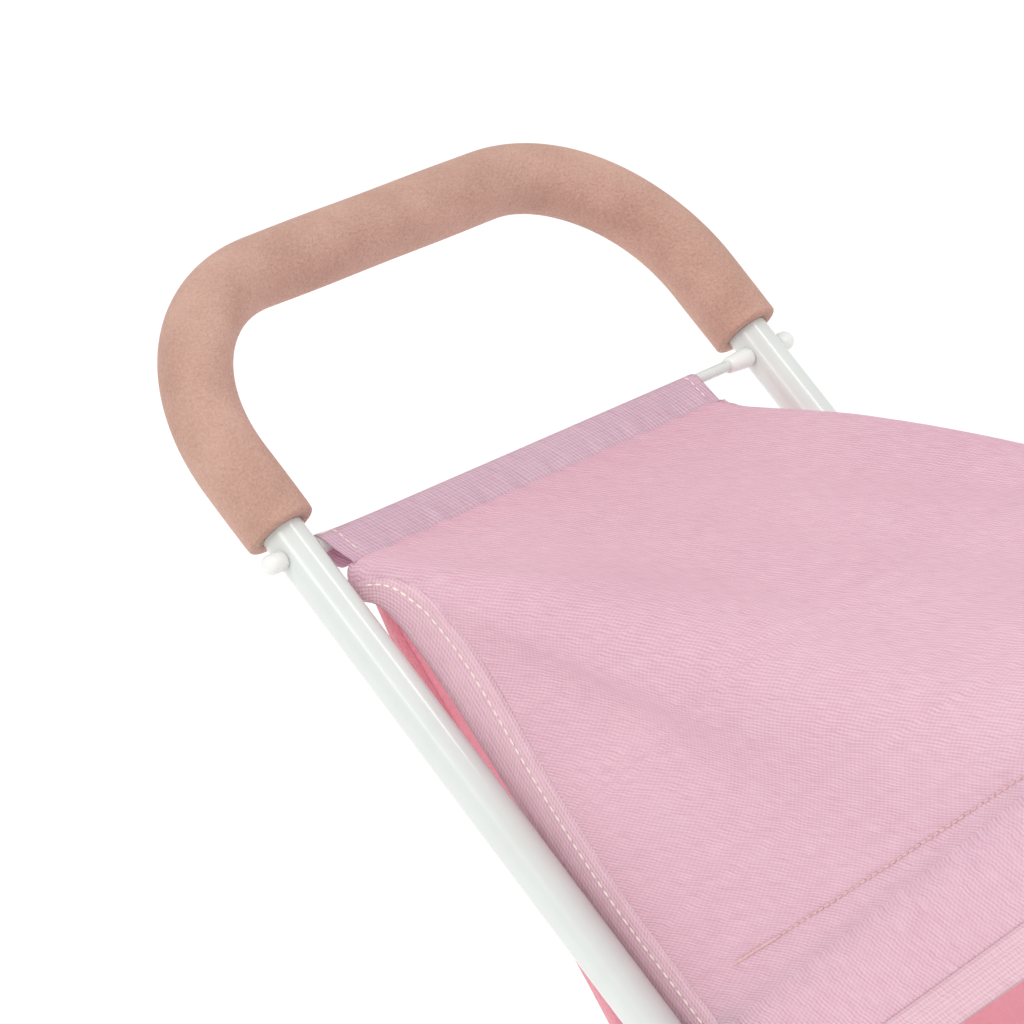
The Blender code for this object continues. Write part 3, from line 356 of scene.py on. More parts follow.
for node_name, node in frame["nodes"].items():
    moulded = node_name.startswith(("caster_", "axle_bracket", "lock_plate", "fold_spacer", "bow_knuckle"))
    plated = "screw" in node_name or "rivet" in node_name or "_axle_" in node_name or "stud" in node_name
    if moulded or plated:
        node.data.materials.clear()
        node.data.materials.append(moulded_white if moulded else zinc_plate)

# --- Wheels ---------------------------------------------------------------------------------------
# Each wheel is a white moulded hub with five raised arms in a soft grey rubber tyre, whose tread has
# one groove round its middle. Two wheels run on each axle, one each side of the leg.

tyre_rubber, shader = start_finish("soft_grey_rubber", {"Roughness": 0.72, "IOR": 1.5})
mottle(tyre_rubber, shader, "#5d5656", "#6b6363", 160.0, 0.2, 0.0003)
arms = 5


def tyre_surface(name, centre, outer, inner, width):
    """A tyre turned about X: its section is a rounded box with a groove of 0.8 mm round the tread."""
    t = np.linspace(0, 2 * math.pi, 56, endpoint=False)
    box = (np.abs(np.cos(t)) ** 5 + np.abs(np.sin(t)) ** 5) ** (-1 / 5)
    across = width / 2 * box * np.cos(t)
    height = (outer - inner) / 2
    radius = inner + height + height * box * np.sin(t)
    radius -= np.where(np.sin(t) > 0, 0.8 * MM * np.exp(-((across / (1.1 * MM)) ** 2)), 0)
    angle = np.linspace(0, 2 * math.pi, 96, endpoint=False)
    points = np.empty((len(t), len(angle), 3))
    points[..., 0] = centre[0] + across[:, None]
    points[..., 1] = centre[1] + radius[:, None] * np.cos(angle)
    points[..., 2] = centre[2] + radius[:, None] * np.sin(angle)
    return surface(name, points, around=True, along=True)


def hub_surface(name, centre, rim, width, boss_width):
    """A hub turned about X from bore to rim and back. Between boss and rim its two faces swell into
    arms: half thickness = web + 2.2 mm * (1 + cos(5 a)) / 2 * sin(pi * share of the way out)."""
    bore, boss, shelf = 2.25 * MM, 6.5 * MM, rim - 3.2 * MM
    angle = np.linspace(0, 2 * math.pi, 120, endpoint=False)
    share = np.linspace(0, 1, 14)
    web_radius = boss + (shelf - boss) * share
    arm = (0.5 + 0.5 * np.cos(arms * angle))[None] ** 1.5 * np.sin(math.pi * share)[:, None] ** 0.6
    web = 2.5 * MM + 2.2 * MM * arm
    flat = np.ones((1, len(angle)))
    face_radii = [bore, bore + 0.4 * MM, boss - 0.5 * MM, boss]
    face_depth = [boss_width / 2 - 0.4 * MM, boss_width / 2, boss_width / 2, boss_width / 2 - 0.5 * MM]
    rim_radii = [shelf, shelf + 0.5 * MM, rim - 0.5 * MM, rim]
    rim_depth = [width / 2 - 0.5 * MM, width / 2, width / 2, width / 2 - 0.5 * MM]
    radii = np.concatenate([face_radii, web_radius, rim_radii])[:, None] * flat
    depth = np.concatenate([np.array(face_depth)[:, None] * flat, web, np.array(rim_depth)[:, None] * flat])
    radii = np.concatenate([radii, radii[::-1]])
    depth = np.concatenate([depth, -depth[::-1]])
    y = centre[1] + radii * np.cos(angle)
    z = centre[2] + radii * np.sin(angle)
    points = np.stack([centre[0] + depth, y, z], -1)
    return surface(name, points[::-1], around=True, along=True)


for end in ("front", "rear"):
    for side_name in ("left", "right"):
        for wheel in ("inner", "outer"):
            node_name = f"{end}_{side_name}_{wheel}"
            low, high = (np.array(corner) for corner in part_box(f"{node_name}_tyre"))
            centre = (low + high) / 2
            outer = 36 * MM * math.cos(math.pi / 24)
            tyre = tyre_surface(f"{node_name}_rubber", centre, outer, 27.6 * MM, high[0] - low[0])
            fit(tyre, tyre_rubber, f"{end}_wheels_{side_name}", f"{node_name}_tyre")
            hub = hub_surface(f"{node_name}_moulding", centre, 27.5 * MM, 12.4 * MM, 14 * MM)
            fit(hub, moulded_white, f"{end}_wheels_{side_name}", f"{node_name}_hub")

# --- Rear frame -----------------------------------------------------------------------------------
# The smaller U of the same tube, inside the main frame. Its top is the seat's front bar, and its
# lower ends sit in the axle brackets.

rear_axle = joint_places["rear_wheel_spin_right"]
rear_side = rear_axle[0]
rear_up = fold_hinge - np.array([0, *rear_axle[1:]])
rear_up /= np.linalg.norm(rear_up)
over_rear = np.array([0, rear_up[2], -rear_up[1]])
seat_bar = fold_hinge + rear_up * 91 * MM / abs(rear_up[1])
rear_start = np.array([0, *rear_axle[1:]]) + rear_up * 40 * MM
rear_path = bent_path(u_corners(rear_side, seat_bar, [rear_start]), [30 * MM, 30 * MM], 2.5 * MM)
rear_tube = surface("rear_tube", tube_rings(rear_path, over_rear, tube_radius, 40), around=True, caps=True)
fit(rear_tube, powder_coat, "rear_frame", "rear_frame_tube")

# --- Canopy bow -----------------------------------------------------------------------------------
# A 5 mm steel wire bent in a U, white like the frame. Its legs end in moulded knuckles riveted to
# the inner sides of the main tubes, and it runs inside a channel sewn in the canopy.

bow_lean = math.radians(136)
up_bow = np.array([0, math.cos(bow_lean), math.sin(bow_lean)])
over_bow = np.array([0, up_bow[2], -up_bow[1]])
bow_radius = 2.5 * MM
bow_side = (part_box("canopy_bow")[1][0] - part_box("canopy_bow")[0][0]) / 2 - bow_radius
bow_top = bow_hinge + 228 * MM * up_bow
bow_ends = [bow_hinge + 8.3 * MM * up_bow]
bow_path = bent_path(u_corners(bow_side, bow_top, bow_ends), [50 * MM, 50 * MM], 2 * MM)
bow = surface("bow_wire", tube_rings(bow_path, over_bow, bow_radius, 28), around=True, caps=True)
fit(bow, powder_coat, "canopy", "canopy_bow")

# --- Canopy ---------------------------------------------------------------------------------------
# One sheet of pink polyester-cotton twill. A sleeve at its rear edge takes the rod, a channel takes
# the bow, and a visor of 50 mm hangs ahead of the bow. A woven tape of 14 mm binds its edges.

sleeve_left = -110 * MM
sleeve_right = 82 * MM
seam_down = 11 * MM  # sleeve's seam below the rod, along the tubes
rod_on_tube = np.array([0, *rod_place[1:]])
seam_place = rod_on_tube - seam_down * up_tube + 4.2 * MM * over_tube
edge_lift = 6 * MM
edge_hang = 11 * MM
cloth_side = bow_side + 5.8 * MM
crest = bow_top + 4.5 * MM * np.array([0, math.cos(math.radians(101)), math.sin(math.radians(101))])
visor = 48 * MM
hem_top = crest + visor * np.array([0, math.cos(math.radians(208)), math.sin(math.radians(208))])
edge_start = rod_on_tube - 13 * MM * up_tube + edge_lift * over_tube
bow_foot = bow_hinge + edge_lift * over_tube
hem_foot = bow_foot - 41 * MM * up_tube
rows_to_bow = 110
rows_to_hem = 26
columns = 260


def section(left_foot, right_foot, top, left, right, corner):
    """One U-shaped line of the canopy, from its left edge over the top to its right edge. Each leg and
    the top get the same share of points in every section, so that folds and seams run true."""
    left_top = np.array([left, *top[1:]])
    right_top = np.array([right, *top[1:]])
    radii = [
        min(corner, 0.9 * np.linalg.norm(left_top - left_foot)),
        min(corner, 0.9 * np.linalg.norm(right_top - right_foot)),
    ]
    path = bent_path([left_foot, left_top, right_top, right_foot], radii, 1 * MM)
    reach = np.concatenate([[0], np.cumsum(np.linalg.norm(np.diff(path, axis=0), axis=1))])
    left_shoulder = reach[np.linalg.norm(path - left_top, axis=1).argmin()]
    right_shoulder = reach[np.linalg.norm(path - right_top, axis=1).argmin()]
    legs = np.linspace(0, 1, int(columns * 0.32), endpoint=False)
    over = np.linspace(0, 1, columns - 2 * len(legs), endpoint=False)
    last = np.linspace(0, 1, len(legs))
    stations = [
        legs * left_shoulder,
        left_shoulder + over * (right_shoulder - left_shoulder),
        right_shoulder + last * (reach[-1] - right_shoulder),
    ]
    return np.stack([np.interp(np.concatenate(stations), reach, path[:, axis]) for axis in range(3)], axis=1)


def canopy_sheet():
    """The canopy's surface P(a, b). a is 0 at the sleeve's seam, 1 at the bow and past 1 in the visor, b
    runs from the left edge to the right. The section's feet slide down the tubes and its top crosses
    straight from seam to bow, while its corner radius grows from 4 mm to 54 mm."""
    shares = np.concatenate([np.linspace(0, 1, rows_to_bow) ** 1.15, 1 + np.linspace(0, 1, rows_to_hem)[1:]])
    lines = []
    for share in shares:
        a = min(share, 1)
        ahead = max(share - 1, 0)
        foot = edge_start + (bow_foot - edge_start) * a + (hem_foot - bow_foot) * ahead
        top = seam_place + (crest - seam_place) * a + (hem_top - crest) * ahead
        left = sleeve_left + (-cloth_side - sleeve_left) * a
        right = sleeve_right + (cloth_side - sleeve_right) * (1 - (1 - a) ** 2)
        spread = min(a / 0.2, 1)
        right_foot_x = sleeve_right + (cloth_side - sleeve_right) * spread * spread * (3 - 2 * spread)
        # At the seam the left edge reaches down past the tube's side, and it rises within 12 mm.
        tuck = math.exp(-((a / 0.06) ** 2)) * (9 * MM * over_tube + 6 * MM * up_tube)
        left_foot = np.array([-cloth_side, *(foot - tuck)[1:]])
        right_foot = np.array([right_foot_x, *foot[1:]])
        # Towards the bow the edge hangs lower, beside the tube.
        hang = np.clip((a - 0.18) / 0.62, 0, 1)
        hang = hang * hang * (3 - 2 * hang)
        left_foot[1:] -= edge_hang * hang * over_tube[1:]
        right_foot[1:] -= edge_hang * hang * over_tube[1:]
        lines.append(section(left_foot, right_foot, top, left, right, min(4 + 90 * a, 54) * MM))
    return np.array(lines), shares


canopy_points, canopy_shares = canopy_sheet()


def sheet_normals(points):
    """Unit normals of a grid: the cross product of its two directions, pointing out of the hood."""
    down = np.gradient(points, axis=0)
    across = np.gradient(points, axis=1)
    normal = np.cross(across, down)
    return normal / np.maximum(np.linalg.norm(normal, axis=2, keepdims=True), 1e-12)


def fold_line(points, start, end, width, depth):
    """A soft fold: depth * exp(-(distance to a line / width)^2), faded out towards both ends."""
    start, end = np.array(start), np.array(end)
    run = end - start
    t = np.clip((points - start) @ run / (run @ run), 0, 1)
    gap = np.linalg.norm(points - (start + t[..., None] * run), axis=-1)
    return depth * np.exp(-((gap / width) ** 2)) * np.sin(math.pi * np.clip(t, 0.0, 1.0)) ** 1.5


normals = sheet_normals(canopy_points)
if (normals[rows_to_bow // 2, columns // 2] @ over_tube) < 0:
    normals = -normals
b = np.linspace(0, 1, canopy_points.shape[1])
near_corner = np.array([sleeve_left, *seam_place[1:]])
far_corner = np.array([sleeve_right, *seam_place[1:]])
left_foot = np.array([-cloth_side, *bow_foot[1:]])
right_foot = np.array([cloth_side, *bow_foot[1:]])
left_crest = np.array([-cloth_side * 0.85, *crest[1:]])
right_crest = np.array([cloth_side * 0.85, *crest[1:]])
left_leg = left_crest - left_foot
right_leg = right_crest - right_foot
lift = np.zeros(canopy_points.shape[:2])
lift += fold_line(canopy_points, near_corner, left_foot + left_leg * 0.45, 17 * MM, -7 * MM)
lift += fold_line(canopy_points, near_corner, left_foot + left_leg * 0.78, 17 * MM, 4.6 * MM)
lift += fold_line(canopy_points, far_corner, right_foot + right_leg * 0.5, 13 * MM, -3.0 * MM)
lift += fold_line(canopy_points, far_corner, right_foot + right_leg * 0.8, 10 * MM, 2.0 * MM)
lift += fold_line(canopy_points, far_corner, right_crest + (right_crest - left_crest) * 0.08, 26 * MM, 4 * MM)
seam_middle = (near_corner + far_corner) / 2
lift += fold_line(canopy_points, near_corner * 0.6 + far_corner * 0.4, left_crest, 18 * MM, -3.4 * MM)
lift += fold_line(canopy_points, near_corner * 0.3 + far_corner * 0.7, right_crest, 18 * MM, -2.6 * MM)
lift += fold_line(canopy_points, seam_middle, (left_crest + right_crest) / 2, 22 * MM, -2.0 * MM)


def puckers(x):
    """Height of the gathers along the sleeve's seam: two waves, 17 mm and 9.3 mm long."""
    return 0.4 * MM * (np.sin(x * 2 * math.pi / (17 * MM)) + 0.6 * np.sin(x * 2 * math.pi / (9.3 * MM) + 1))


# The cloth is gathered into the sleeve, and its puckers fade to a third every 16 mm.
gather = np.exp(-np.linalg.norm(canopy_points - canopy_points[:1], axis=2) / (16 * MM))
lift += gather * puckers(canopy_points[0, :, 0])
# Sag between seam and bow, and the bow's wire showing through its channel.
sag = np.sin(math.pi * np.clip(canopy_shares, 0, 1)) ** 1.2
lift -= (2.5 * MM * sag)[:, None] * np.sin(math.pi * b) ** 2
steps_off_bow = (canopy_shares - 1) * 330 * MM
lift += (0.9 * MM * np.exp(-((steps_off_bow / (3.2 * MM)) ** 2)))[:, None] * np.ones_like(b)
# The channel is sewn straighter than the bow bends, so its ends lie seven rows behind the wire. The
# thread pulls a groove into the cloth.
channel_rows = rows_to_bow - 1 - 7 * np.clip((np.abs(2 * b - 1) - 0.15) / 0.72, 0, 1) ** 1.3
sewn = np.clip((0.9 - np.abs(2 * b - 1)) / 0.06, 0, 1)
off_seam = np.arange(canopy_points.shape[0])[:, None] - channel_rows
lift -= 0.7 * MM * sewn * np.exp(-((off_seam / 0.8) ** 2))
# A hem never hangs quite straight.
lift += (np.clip(canopy_shares - 1, 0, 1) ** 2 * 1.8 * MM)[:, None] * np.sin(b * 2 * math.pi * 3.4 + 0.6)
canopy_points = canopy_points + normals * lift[..., None]
normals = sheet_normals(canopy_points)
if (normals[rows_to_bow // 2, columns // 2] @ over_tube) < 0:
    normals = -normals


def lay_uv(made, points, turned=False):
    """A UV map in metres: across the cloth along the rows, and along it down the columns. On a turned
    piece the rows run down the cloth instead."""
    wide = np.linalg.norm(np.diff(points, axis=1), axis=2)
    long = np.linalg.norm(np.diff(points, axis=0), axis=2)
    middle = points.shape[1] // 2
    u = np.concatenate([np.zeros((points.shape[0], 1)), np.cumsum(wide, axis=1)], axis=1)
    u -= u[:, middle : middle + 1]
    v = np.concatenate([np.zeros((1, points.shape[1])), np.cumsum(long, axis=0)], axis=0)
    flat = np.stack([v, u] if turned else [u, v], axis=-1).reshape(-1, 2)
    mesh = made.data
    corners = np.empty(len(mesh.loops), np.int32)
    mesh.loops.foreach_get("vertex_index", corners)
    layer = mesh.uv_layers.new(name="cloth")
    layer.data.foreach_set("uv", flat[corners].astype(np.float32).ravel())


def woven(name, light, dark, pitch, slant, plain, contrast, sheen, through):
    """Woven cloth: ribs at a slant from the warp and plain ribs across it, both at a real pitch, broken
    up by slubs along the warp. Some of the light that falls on one side comes through."""
    material, shader = start_finish(name, {"Roughness": 0.55, "Sheen Weight": sheen, "Sheen Roughness": 0.3})
    shader.inputs["Sheen Tint"].default_value = linear("#ffe6ee")
    uv = add_node(material, "ShaderNodeUVMap", uv_map="cloth").outputs["UV"]
    turns = 2 * math.pi / pitch
    slanted = (math.cos(slant) * turns, math.sin(slant) * turns, 0)
    rib = add_node(material, "ShaderNodeVectorMath", {0: uv, 1: slanted}, operation="DOT_PRODUCT")
    rib_wave = add_node(material, "ShaderNodeMath", {0: rib.outputs["Value"]}, operation="SINE")
    across = add_node(material, "ShaderNodeVectorMath", {0: uv, 1: (0, turns, 0)}, operation="DOT_PRODUCT")
    across_wave = add_node(material, "ShaderNodeMath", {0: across.outputs["Value"]}, operation="SINE")
    weave = add_node(
        material,
        "ShaderNodeMath",
        {0: across_wave.outputs[0], 1: plain, 2: rib_wave.outputs[0]},
        operation="MULTIPLY_ADD",
    )
    long_slubs = (1 / 0.0007, 1 / 0.008, 1)
    stretched = add_node(material, "ShaderNodeVectorMath", {0: uv, 1: long_slubs}, operation="MULTIPLY")
    slub_values = {"Vector": stretched.outputs[0], "Scale": 1.0, "Detail": 2.0}
    slub = add_node(material, "ShaderNodeTexNoise", slub_values)
    wide = add_node(material, "ShaderNodeTexNoise", {"Vector": uv, "Scale": 14.0, "Detail": 3.0})
    ribs = add_node(
        material,
        "ShaderNodeMath",
        {0: weave.outputs[0], 1: contrast, 2: slub.outputs["Fac"]},
        operation="MULTIPLY_ADD",
    )
    shade = add_node(
        material,
        "ShaderNodeMath",
        {0: wide.outputs["Fac"], 1: 0.4, 2: ribs.outputs[0]},
        operation="MULTIPLY_ADD",
    )
    ramp = add_node(material, "ShaderNodeValToRGB", {"Fac": shade.outputs[0]})
    ramp.color_ramp.elements[0].position = 0.2
    ramp.color_ramp.elements[0].color = linear(dark)
    ramp.color_ramp.elements[1].position = 1.0
    ramp.color_ramp.elements[1].color = linear(light)
    material.node_tree.links.new(ramp.outputs["Color"], shader.inputs["Base Color"])
    relief = add_node(
        material, "ShaderNodeBump", {"Height": weave.outputs[0], "Strength": 0.5, "Distance": 0.0002}
    )
    material.node_tree.links.new(relief.outputs["Normal"], shader.inputs["Normal"])
    glow = add_node(material, "ShaderNodeBsdfTranslucent", {"Color": ramp.outputs["Color"]})
    mixed = add_node(material, "ShaderNodeMixShader", {0: through, 1: shader.outputs[0], 2: glow.outputs[0]})
    surface_input = material.node_tree.nodes["Material Output"].inputs["Surface"]
    material.node_tree.links.new(mixed.outputs[0], surface_input)
    return material


# The twill's ribs lean 3 degrees from the warp and are drawn 1.6 mm apart, so that they show.
twill_slant = math.radians(-3)
pink_twill = woven("pink_twill", "#f4dae5", "#dcb1c5", 1.6 * MM, twill_slant, 0.4, 0.22, 0.3, 0.36)
pink_lining = woven("pink_lining", "#ffe6ec", "#fdd9e1", 1.3 * MM, 0.0, 0.5, 0.06, 0.1, 0.6)
binding_tape = woven("binding_tape", "#fbd8e2", "#e4b5c4", 1.5 * MM, 0.0, 1.0, 0.16, 0.25, 0.2)

canopy = surface("canopy_cloth", canopy_points)
lay_uv(canopy, canopy_points)


def back_with(piece, thickness, outer, inner, outward):
    """Gives a sheet its thickness on the inner side, with another cloth as its inner face."""
    piece.data.materials.clear()
    piece.data.materials.append(outer)
    piece.data.materials.append(inner)
    facing = np.empty(len(piece.data.polygons) * 3, np.float32)
    piece.data.polygons.foreach_get("normal", facing)
    if facing.reshape(-1, 3).mean(axis=0) @ np.array(outward) < 0:
        piece.data.flip_normals()
    solidify = piece.modifiers.new("cloth", "SOLIDIFY")
    solidify.thickness = thickness
    solidify.offset = -1
    solidify.material_offset = 1
    solidify.material_offset_rim = 0


back_with(canopy, 0.8 * MM, pink_twill, pink_lining, Vector(over_tube))
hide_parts("canopy_fabric")
canopy_pieces = []


def canopy_strip(name, rows, columns_of, proud, material):
    """A strip laid on the canopy: the sheet's points over a range of rows and, in each row, over a
    range of columns, raised by proud and turned down by 0.5 mm at its long edges."""
    across = np.linspace(0, 1, 9)
    strip = []
    for row in rows:
        low, high = columns_of(row)
        where = low + (high - low) * across
        spots = np.arange(canopy_points.shape[1])
        on = np.stack([np.interp(where, spots, canopy_points[row, :, axis]) for axis in range(3)], axis=1)
        out = np.stack([np.interp(where, spots, normals[row, :, axis]) for axis in range(3)], axis=1)
        crown = proud * (1 - (2 * across - 1) ** 8)[:, None]
        strip.append(on + out * crown)
    strip = np.array(strip)
    made = surface(name, strip)
    lay_uv(made, strip)
    made.data.materials.append(material)
    middle_row = rows[len(rows) // 2]
    facing = np.array(made.data.polygons[len(made.data.polygons) // 2].normal)
    if facing @ normals[middle_row, int(columns_of(middle_row)[0])] < 0:
        made.data.flip_normals()
    solidify = made.modifiers.new("tape", "SOLIDIFY")
    solidify.thickness = 0.4 * MM
    solidify.offset = -1
    canopy_pieces.append(made)
    return strip


def spot_at(row, distance):
    """The column, as a fraction, at a distance from the left edge along one row."""
    steps = np.linalg.norm(np.diff(canopy_points[row], axis=0), axis=1)
    reach = np.concatenate([[0], np.cumsum(steps)])
    return np.interp(distance, reach, np.arange(len(reach)))


binding_width = 19 * MM
edge_reach = np.concatenate([[0], np.cumsum(np.linalg.norm(np.diff(canopy_points[:, 0], axis=0), axis=1))])
# The tape comes out of the seam at the corner and has its full width after 26 mm.
tape_share = np.sqrt(np.clip(edge_reach / (26 * MM), 0.03, 1))
last_row = canopy_points.shape[0] - 1
last_column = canopy_points.shape[1] - 1
all_rows = range(1, last_row + 1)


def left_band(row):
    return 0, spot_at(row, binding_width * tape_share[row])


def right_band(row):
    return last_column - spot_at(row, binding_width * tape_share[row]), last_column


canopy_strip("side_binding_left", all_rows, left_band, 0.7 * MM, binding_tape)
canopy_strip("side_binding_right", all_rows, right_band, 0.7 * MM, binding_tape)


def hem_strip():
    """The visor's tape: the last rows of the sheet, raised by 0.7 mm."""
    middle = canopy_points.shape[1] // 2
    steps = np.linalg.norm(np.diff(canopy_points[:, middle], axis=0), axis=1)
    back = np.concatenate([[0], np.cumsum(steps[::-1])])
    start = last_row - int(np.searchsorted(back, 14 * MM))
    rows = np.arange(start, last_row + 1)
    share = np.linspace(0, 1, len(rows))
    crown = 0.9 * MM * (1 - (2 * share - 1) ** 8)
    return canopy_points[rows] + normals[rows] * crown[:, None, None]


hem_points = hem_strip()
hem = surface("visor_binding", hem_points)
lay_uv(hem, hem_points)
hem.data.materials.append(binding_tape)
if hem.data.polygons[len(hem.data.polygons) // 2].normal @ Vector(over_tube) < 0:
    hem.data.flip_normals()
hem_wall = hem.modifiers.new("tape", "SOLIDIFY")
hem_wall.thickness = 0.4 * MM
hem_wall.offset = -1
canopy_pieces.append(hem)


def rod_sleeve():
    """The sleeve: a closed teardrop section, round over the rod and flat towards the seam, carried
    along the rod. Its left end is cut on a slant and opens over the rod's bush, and its lip rises and
    falls with the seam's puckers."""
    outline = [(-11.6, 3.4), (-10.5, -0.2), (0.5, -2.7), (3.0, 0.2), (0.2, 3.1), (-12.4, 4.75)]
    corners = [rod_on_tube + up_tube * down * MM + over_tube * out * MM for down, out in outline]
    loop = bent_path(corners, [2.5 * MM, 2.4 * MM, 2.4 * MM, 2.6 * MM], 0.5 * MM)
    reach = np.concatenate([[0], np.cumsum(np.linalg.norm(np.diff(loop, axis=0), axis=1))])
    stations = np.linspace(0, reach[-1], 60)
    loop = np.stack([np.interp(stations, reach, loop[:, axis]) for axis in range(3)], axis=1)
    x = np.linspace(sleeve_left, sleeve_right, 180)
    off_rod = loop - rod_on_tube
    below = np.clip(-(off_rod @ up_tube) / seam_down, 0, 1)
    from_left = (x - sleeve_left)[:, None]
    open_up = 0.45 * np.exp(-from_left / (9 * MM)) * (1 - below)
    points = rod_on_tube + off_rod * (1 + open_up)[..., None]
    points[..., 0] = x[:, None] - 3 * MM * np.exp(-from_left / (12 * MM)) * (1 - 1.6 * below)
    upper = np.linspace(0, 1, len(loop)) > 0.5
    points += (puckers(x)[:, None] * below * upper)[..., None] * over_tube
    return points


sleeve_points = rod_sleeve()
sleeve = surface("rod_sleeve", sleeve_points)
lay_uv(sleeve, sleeve_points, turned=True)
sleeve.data.materials.append(pink_twill)
sleeve.data.materials.append(pink_lining)
top_face = max(sleeve.data.polygons, key=lambda face: face.center @ Vector(over_tube))
if top_face.normal @ Vector(over_tube) < 0:
    sleeve.data.flip_normals()
sleeve_wall = sleeve.modifiers.new("cloth", "SOLIDIFY")
sleeve_wall.thickness = 0.35 * MM
sleeve_wall.offset = 1
canopy_pieces.append(sleeve)

# Cream and rose sewing thread, 0.45 to 1.1 mm thick, in stitches of 2.1 to 2.6 mm.
edge_pitch = 3.6 * MM
edge_stitch = 2.6 * MM
white_thread, shader = start_finish("white_thread", {"Roughness": 0.6, "Sheen Weight": 0.3})
mottle(white_thread, shader, "#f3dcd4", "#fff5ee", 900.0, 0.3, 0.0001)
rose_thread, shader = start_finish("rose_thread", {"Roughness": 0.6, "Sheen Weight": 0.3})
mottle(rose_thread, shader, "#c38f97", "#e6c9c2", 900.0, 0.3, 0.0001)


def stitches(name, line, out, pitch, length, thickness, material):
    """Stitches along a line: each is an eight-sided grain, pitch apart and length long, laid on the
    cloth along the line's direction T with its height along the cloth's normal N."""
    reach = np.concatenate([[0], np.cumsum(np.linalg.norm(np.diff(line, axis=0), axis=1))])
    count = int(reach[-1] / pitch)
    stations = (np.arange(count) + 0.5) * pitch
    centre = np.stack([np.interp(stations, reach, line[:, axis]) for axis in range(3)], axis=1)
    ahead = np.stack([np.interp(stations + length / 2, reach, line[:, axis]) for axis in range(3)], axis=1)
    back = np.stack([np.interp(stations - length / 2, reach, line[:, axis]) for axis in range(3)], axis=1)
    tangent = (ahead - back) / np.linalg.norm(ahead - back, axis=1, keepdims=True)
    normal = np.stack([np.interp(stations, reach, out[:, axis]) for axis in range(3)], axis=1)
    normal -= (normal * tangent).sum(1, keepdims=True) * tangent
    normal /= np.linalg.norm(normal, axis=1, keepdims=True)
    beside = np.cross(tangent, normal)
    t = np.linspace(0, 1, 6)
    swell = np.sin(math.pi * np.clip(t, 0.03, 0.97)) ** 0.4
    angle = np.linspace(0, 2 * math.pi, 8, endpoint=False)
    shape = np.empty((6, 8, 3))
    shape[..., 0] = ((t - 0.5) * length)[:, None]
    shape[..., 1] = thickness / 2 * swell[:, None] * np.cos(angle)
    shape[..., 2] = thickness / 2 * swell[:, None] * np.sin(angle)
    axes = np.stack([tangent, beside, normal], axis=1)
    points = centre[:, None, None] + np.einsum("ijk,mkl->mijl", shape, axes)
    index = np.arange(count * 48).reshape(count, 6, 8)
    turn = np.roll(index, -1, axis=2)
    quads = np.stack([index[:, :-1], index[:, 1:], turn[:, 1:], turn[:, :-1]], axis=-1).reshape(-1, 4)
    first = index[:, 0].tolist()
    last = index[:, -1, ::-1].tolist()
    mesh = bpy.data.meshes.new(name)
    mesh.from_pydata(points.reshape(-1, 3).tolist(), [], quads.tolist() + first + last)
    mesh.shade_smooth()
    made = bpy.data.objects.new(name, mesh)
    bpy.context.scene.collection.objects.link(made)
    made.data.materials.append(material)
    canopy_pieces.append(made)
    return made


def line_at(distance, from_right=False):
    """A line down the canopy at a distance from its side edge, with the cloth's normals."""
    rows = range(6, last_row)
    spots = np.arange(canopy_points.shape[1])
    where = [spot_at(row, distance * tape_share[row]) for row in rows]
    where = [last_column - spot for spot in where] if from_right else where
    on, out = (
        np.array([[np.interp(w, spots, grid[r, :, axis]) for axis in range(3)] for r, w in zip(rows, where)])
        for grid in (canopy_points, normals)
    )
    return on, out / np.linalg.norm(out, axis=1, keepdims=True)


stitch_inset = 13.5 * MM
for side_name, from_right in (("left", False), ("right", True)):
    line, out = line_at(stitch_inset, from_right)
    line = line + out * 0.85 * MM
    stitches(f"binding_stitches_{side_name}", line, out, edge_pitch, edge_stitch, 0.7 * MM, white_thread)

channel = slice(int(columns * 0.065), int(columns * 0.935))
seam_columns = np.arange(canopy_points.shape[1])[channel]
seam_rows = channel_rows[channel]
row_below = seam_rows.astype(int)
between = (seam_rows - row_below)[:, None]
line = canopy_points[row_below, seam_columns] * (1 - between)
line += canopy_points[np.minimum(row_below + 1, last_row), seam_columns] * between
out = normals[row_below, seam_columns]
stitches("channel_stitches", line + out * 0.25 * MM, out, 3.1 * MM, 2.6 * MM, 0.9 * MM, rose_thread)
tack = (line + out * 0.3 * MM)[:10]
stitches("channel_back_stitches", tack, out[:10], 1.6 * MM, 2.4 * MM, 1.1 * MM, rose_thread)
hem_row = last_row - 6
line, out = canopy_points[hem_row, 8:-8], normals[hem_row, 8:-8]
stitches("visor_stitches", line + out * 1.0 * MM, out, edge_pitch, edge_stitch, 0.5 * MM, rose_thread)

sleeve_top = sleeve_points[:, 34:58]
for name, place_on in (("left", 6), ("right", -6)):
    line = sleeve_top[place_on] + over_tube * 0.6 * MM
    out = np.broadcast_to(over_tube, line.shape)
    stitches(f"sleeve_end_stitches_{name}", line, out, 2.8 * MM, 2.1 * MM, 0.45 * MM, white_thread)

for made in [canopy, *canopy_pieces]:
    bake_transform(made)

# --- Seat -----------------------------------------------------------------------------------------
# A sling of coral pink plain-weave cloth with a thin padding. Its back hangs from the rod between the
# tubes, its base is looped over the seat bar, and a welt is sewn along each side.

seat_cloth = woven("coral_plain_cloth", "#ffdbe2", "#ffc9d3", 1.2 * MM, 0.0, 0.8, 0.06, 0.15, 0.6)
seat_back_low = np.array(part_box("seat_back")[0])
bight = np.array([0, seat_back_low[1], seat_back_low[2]])


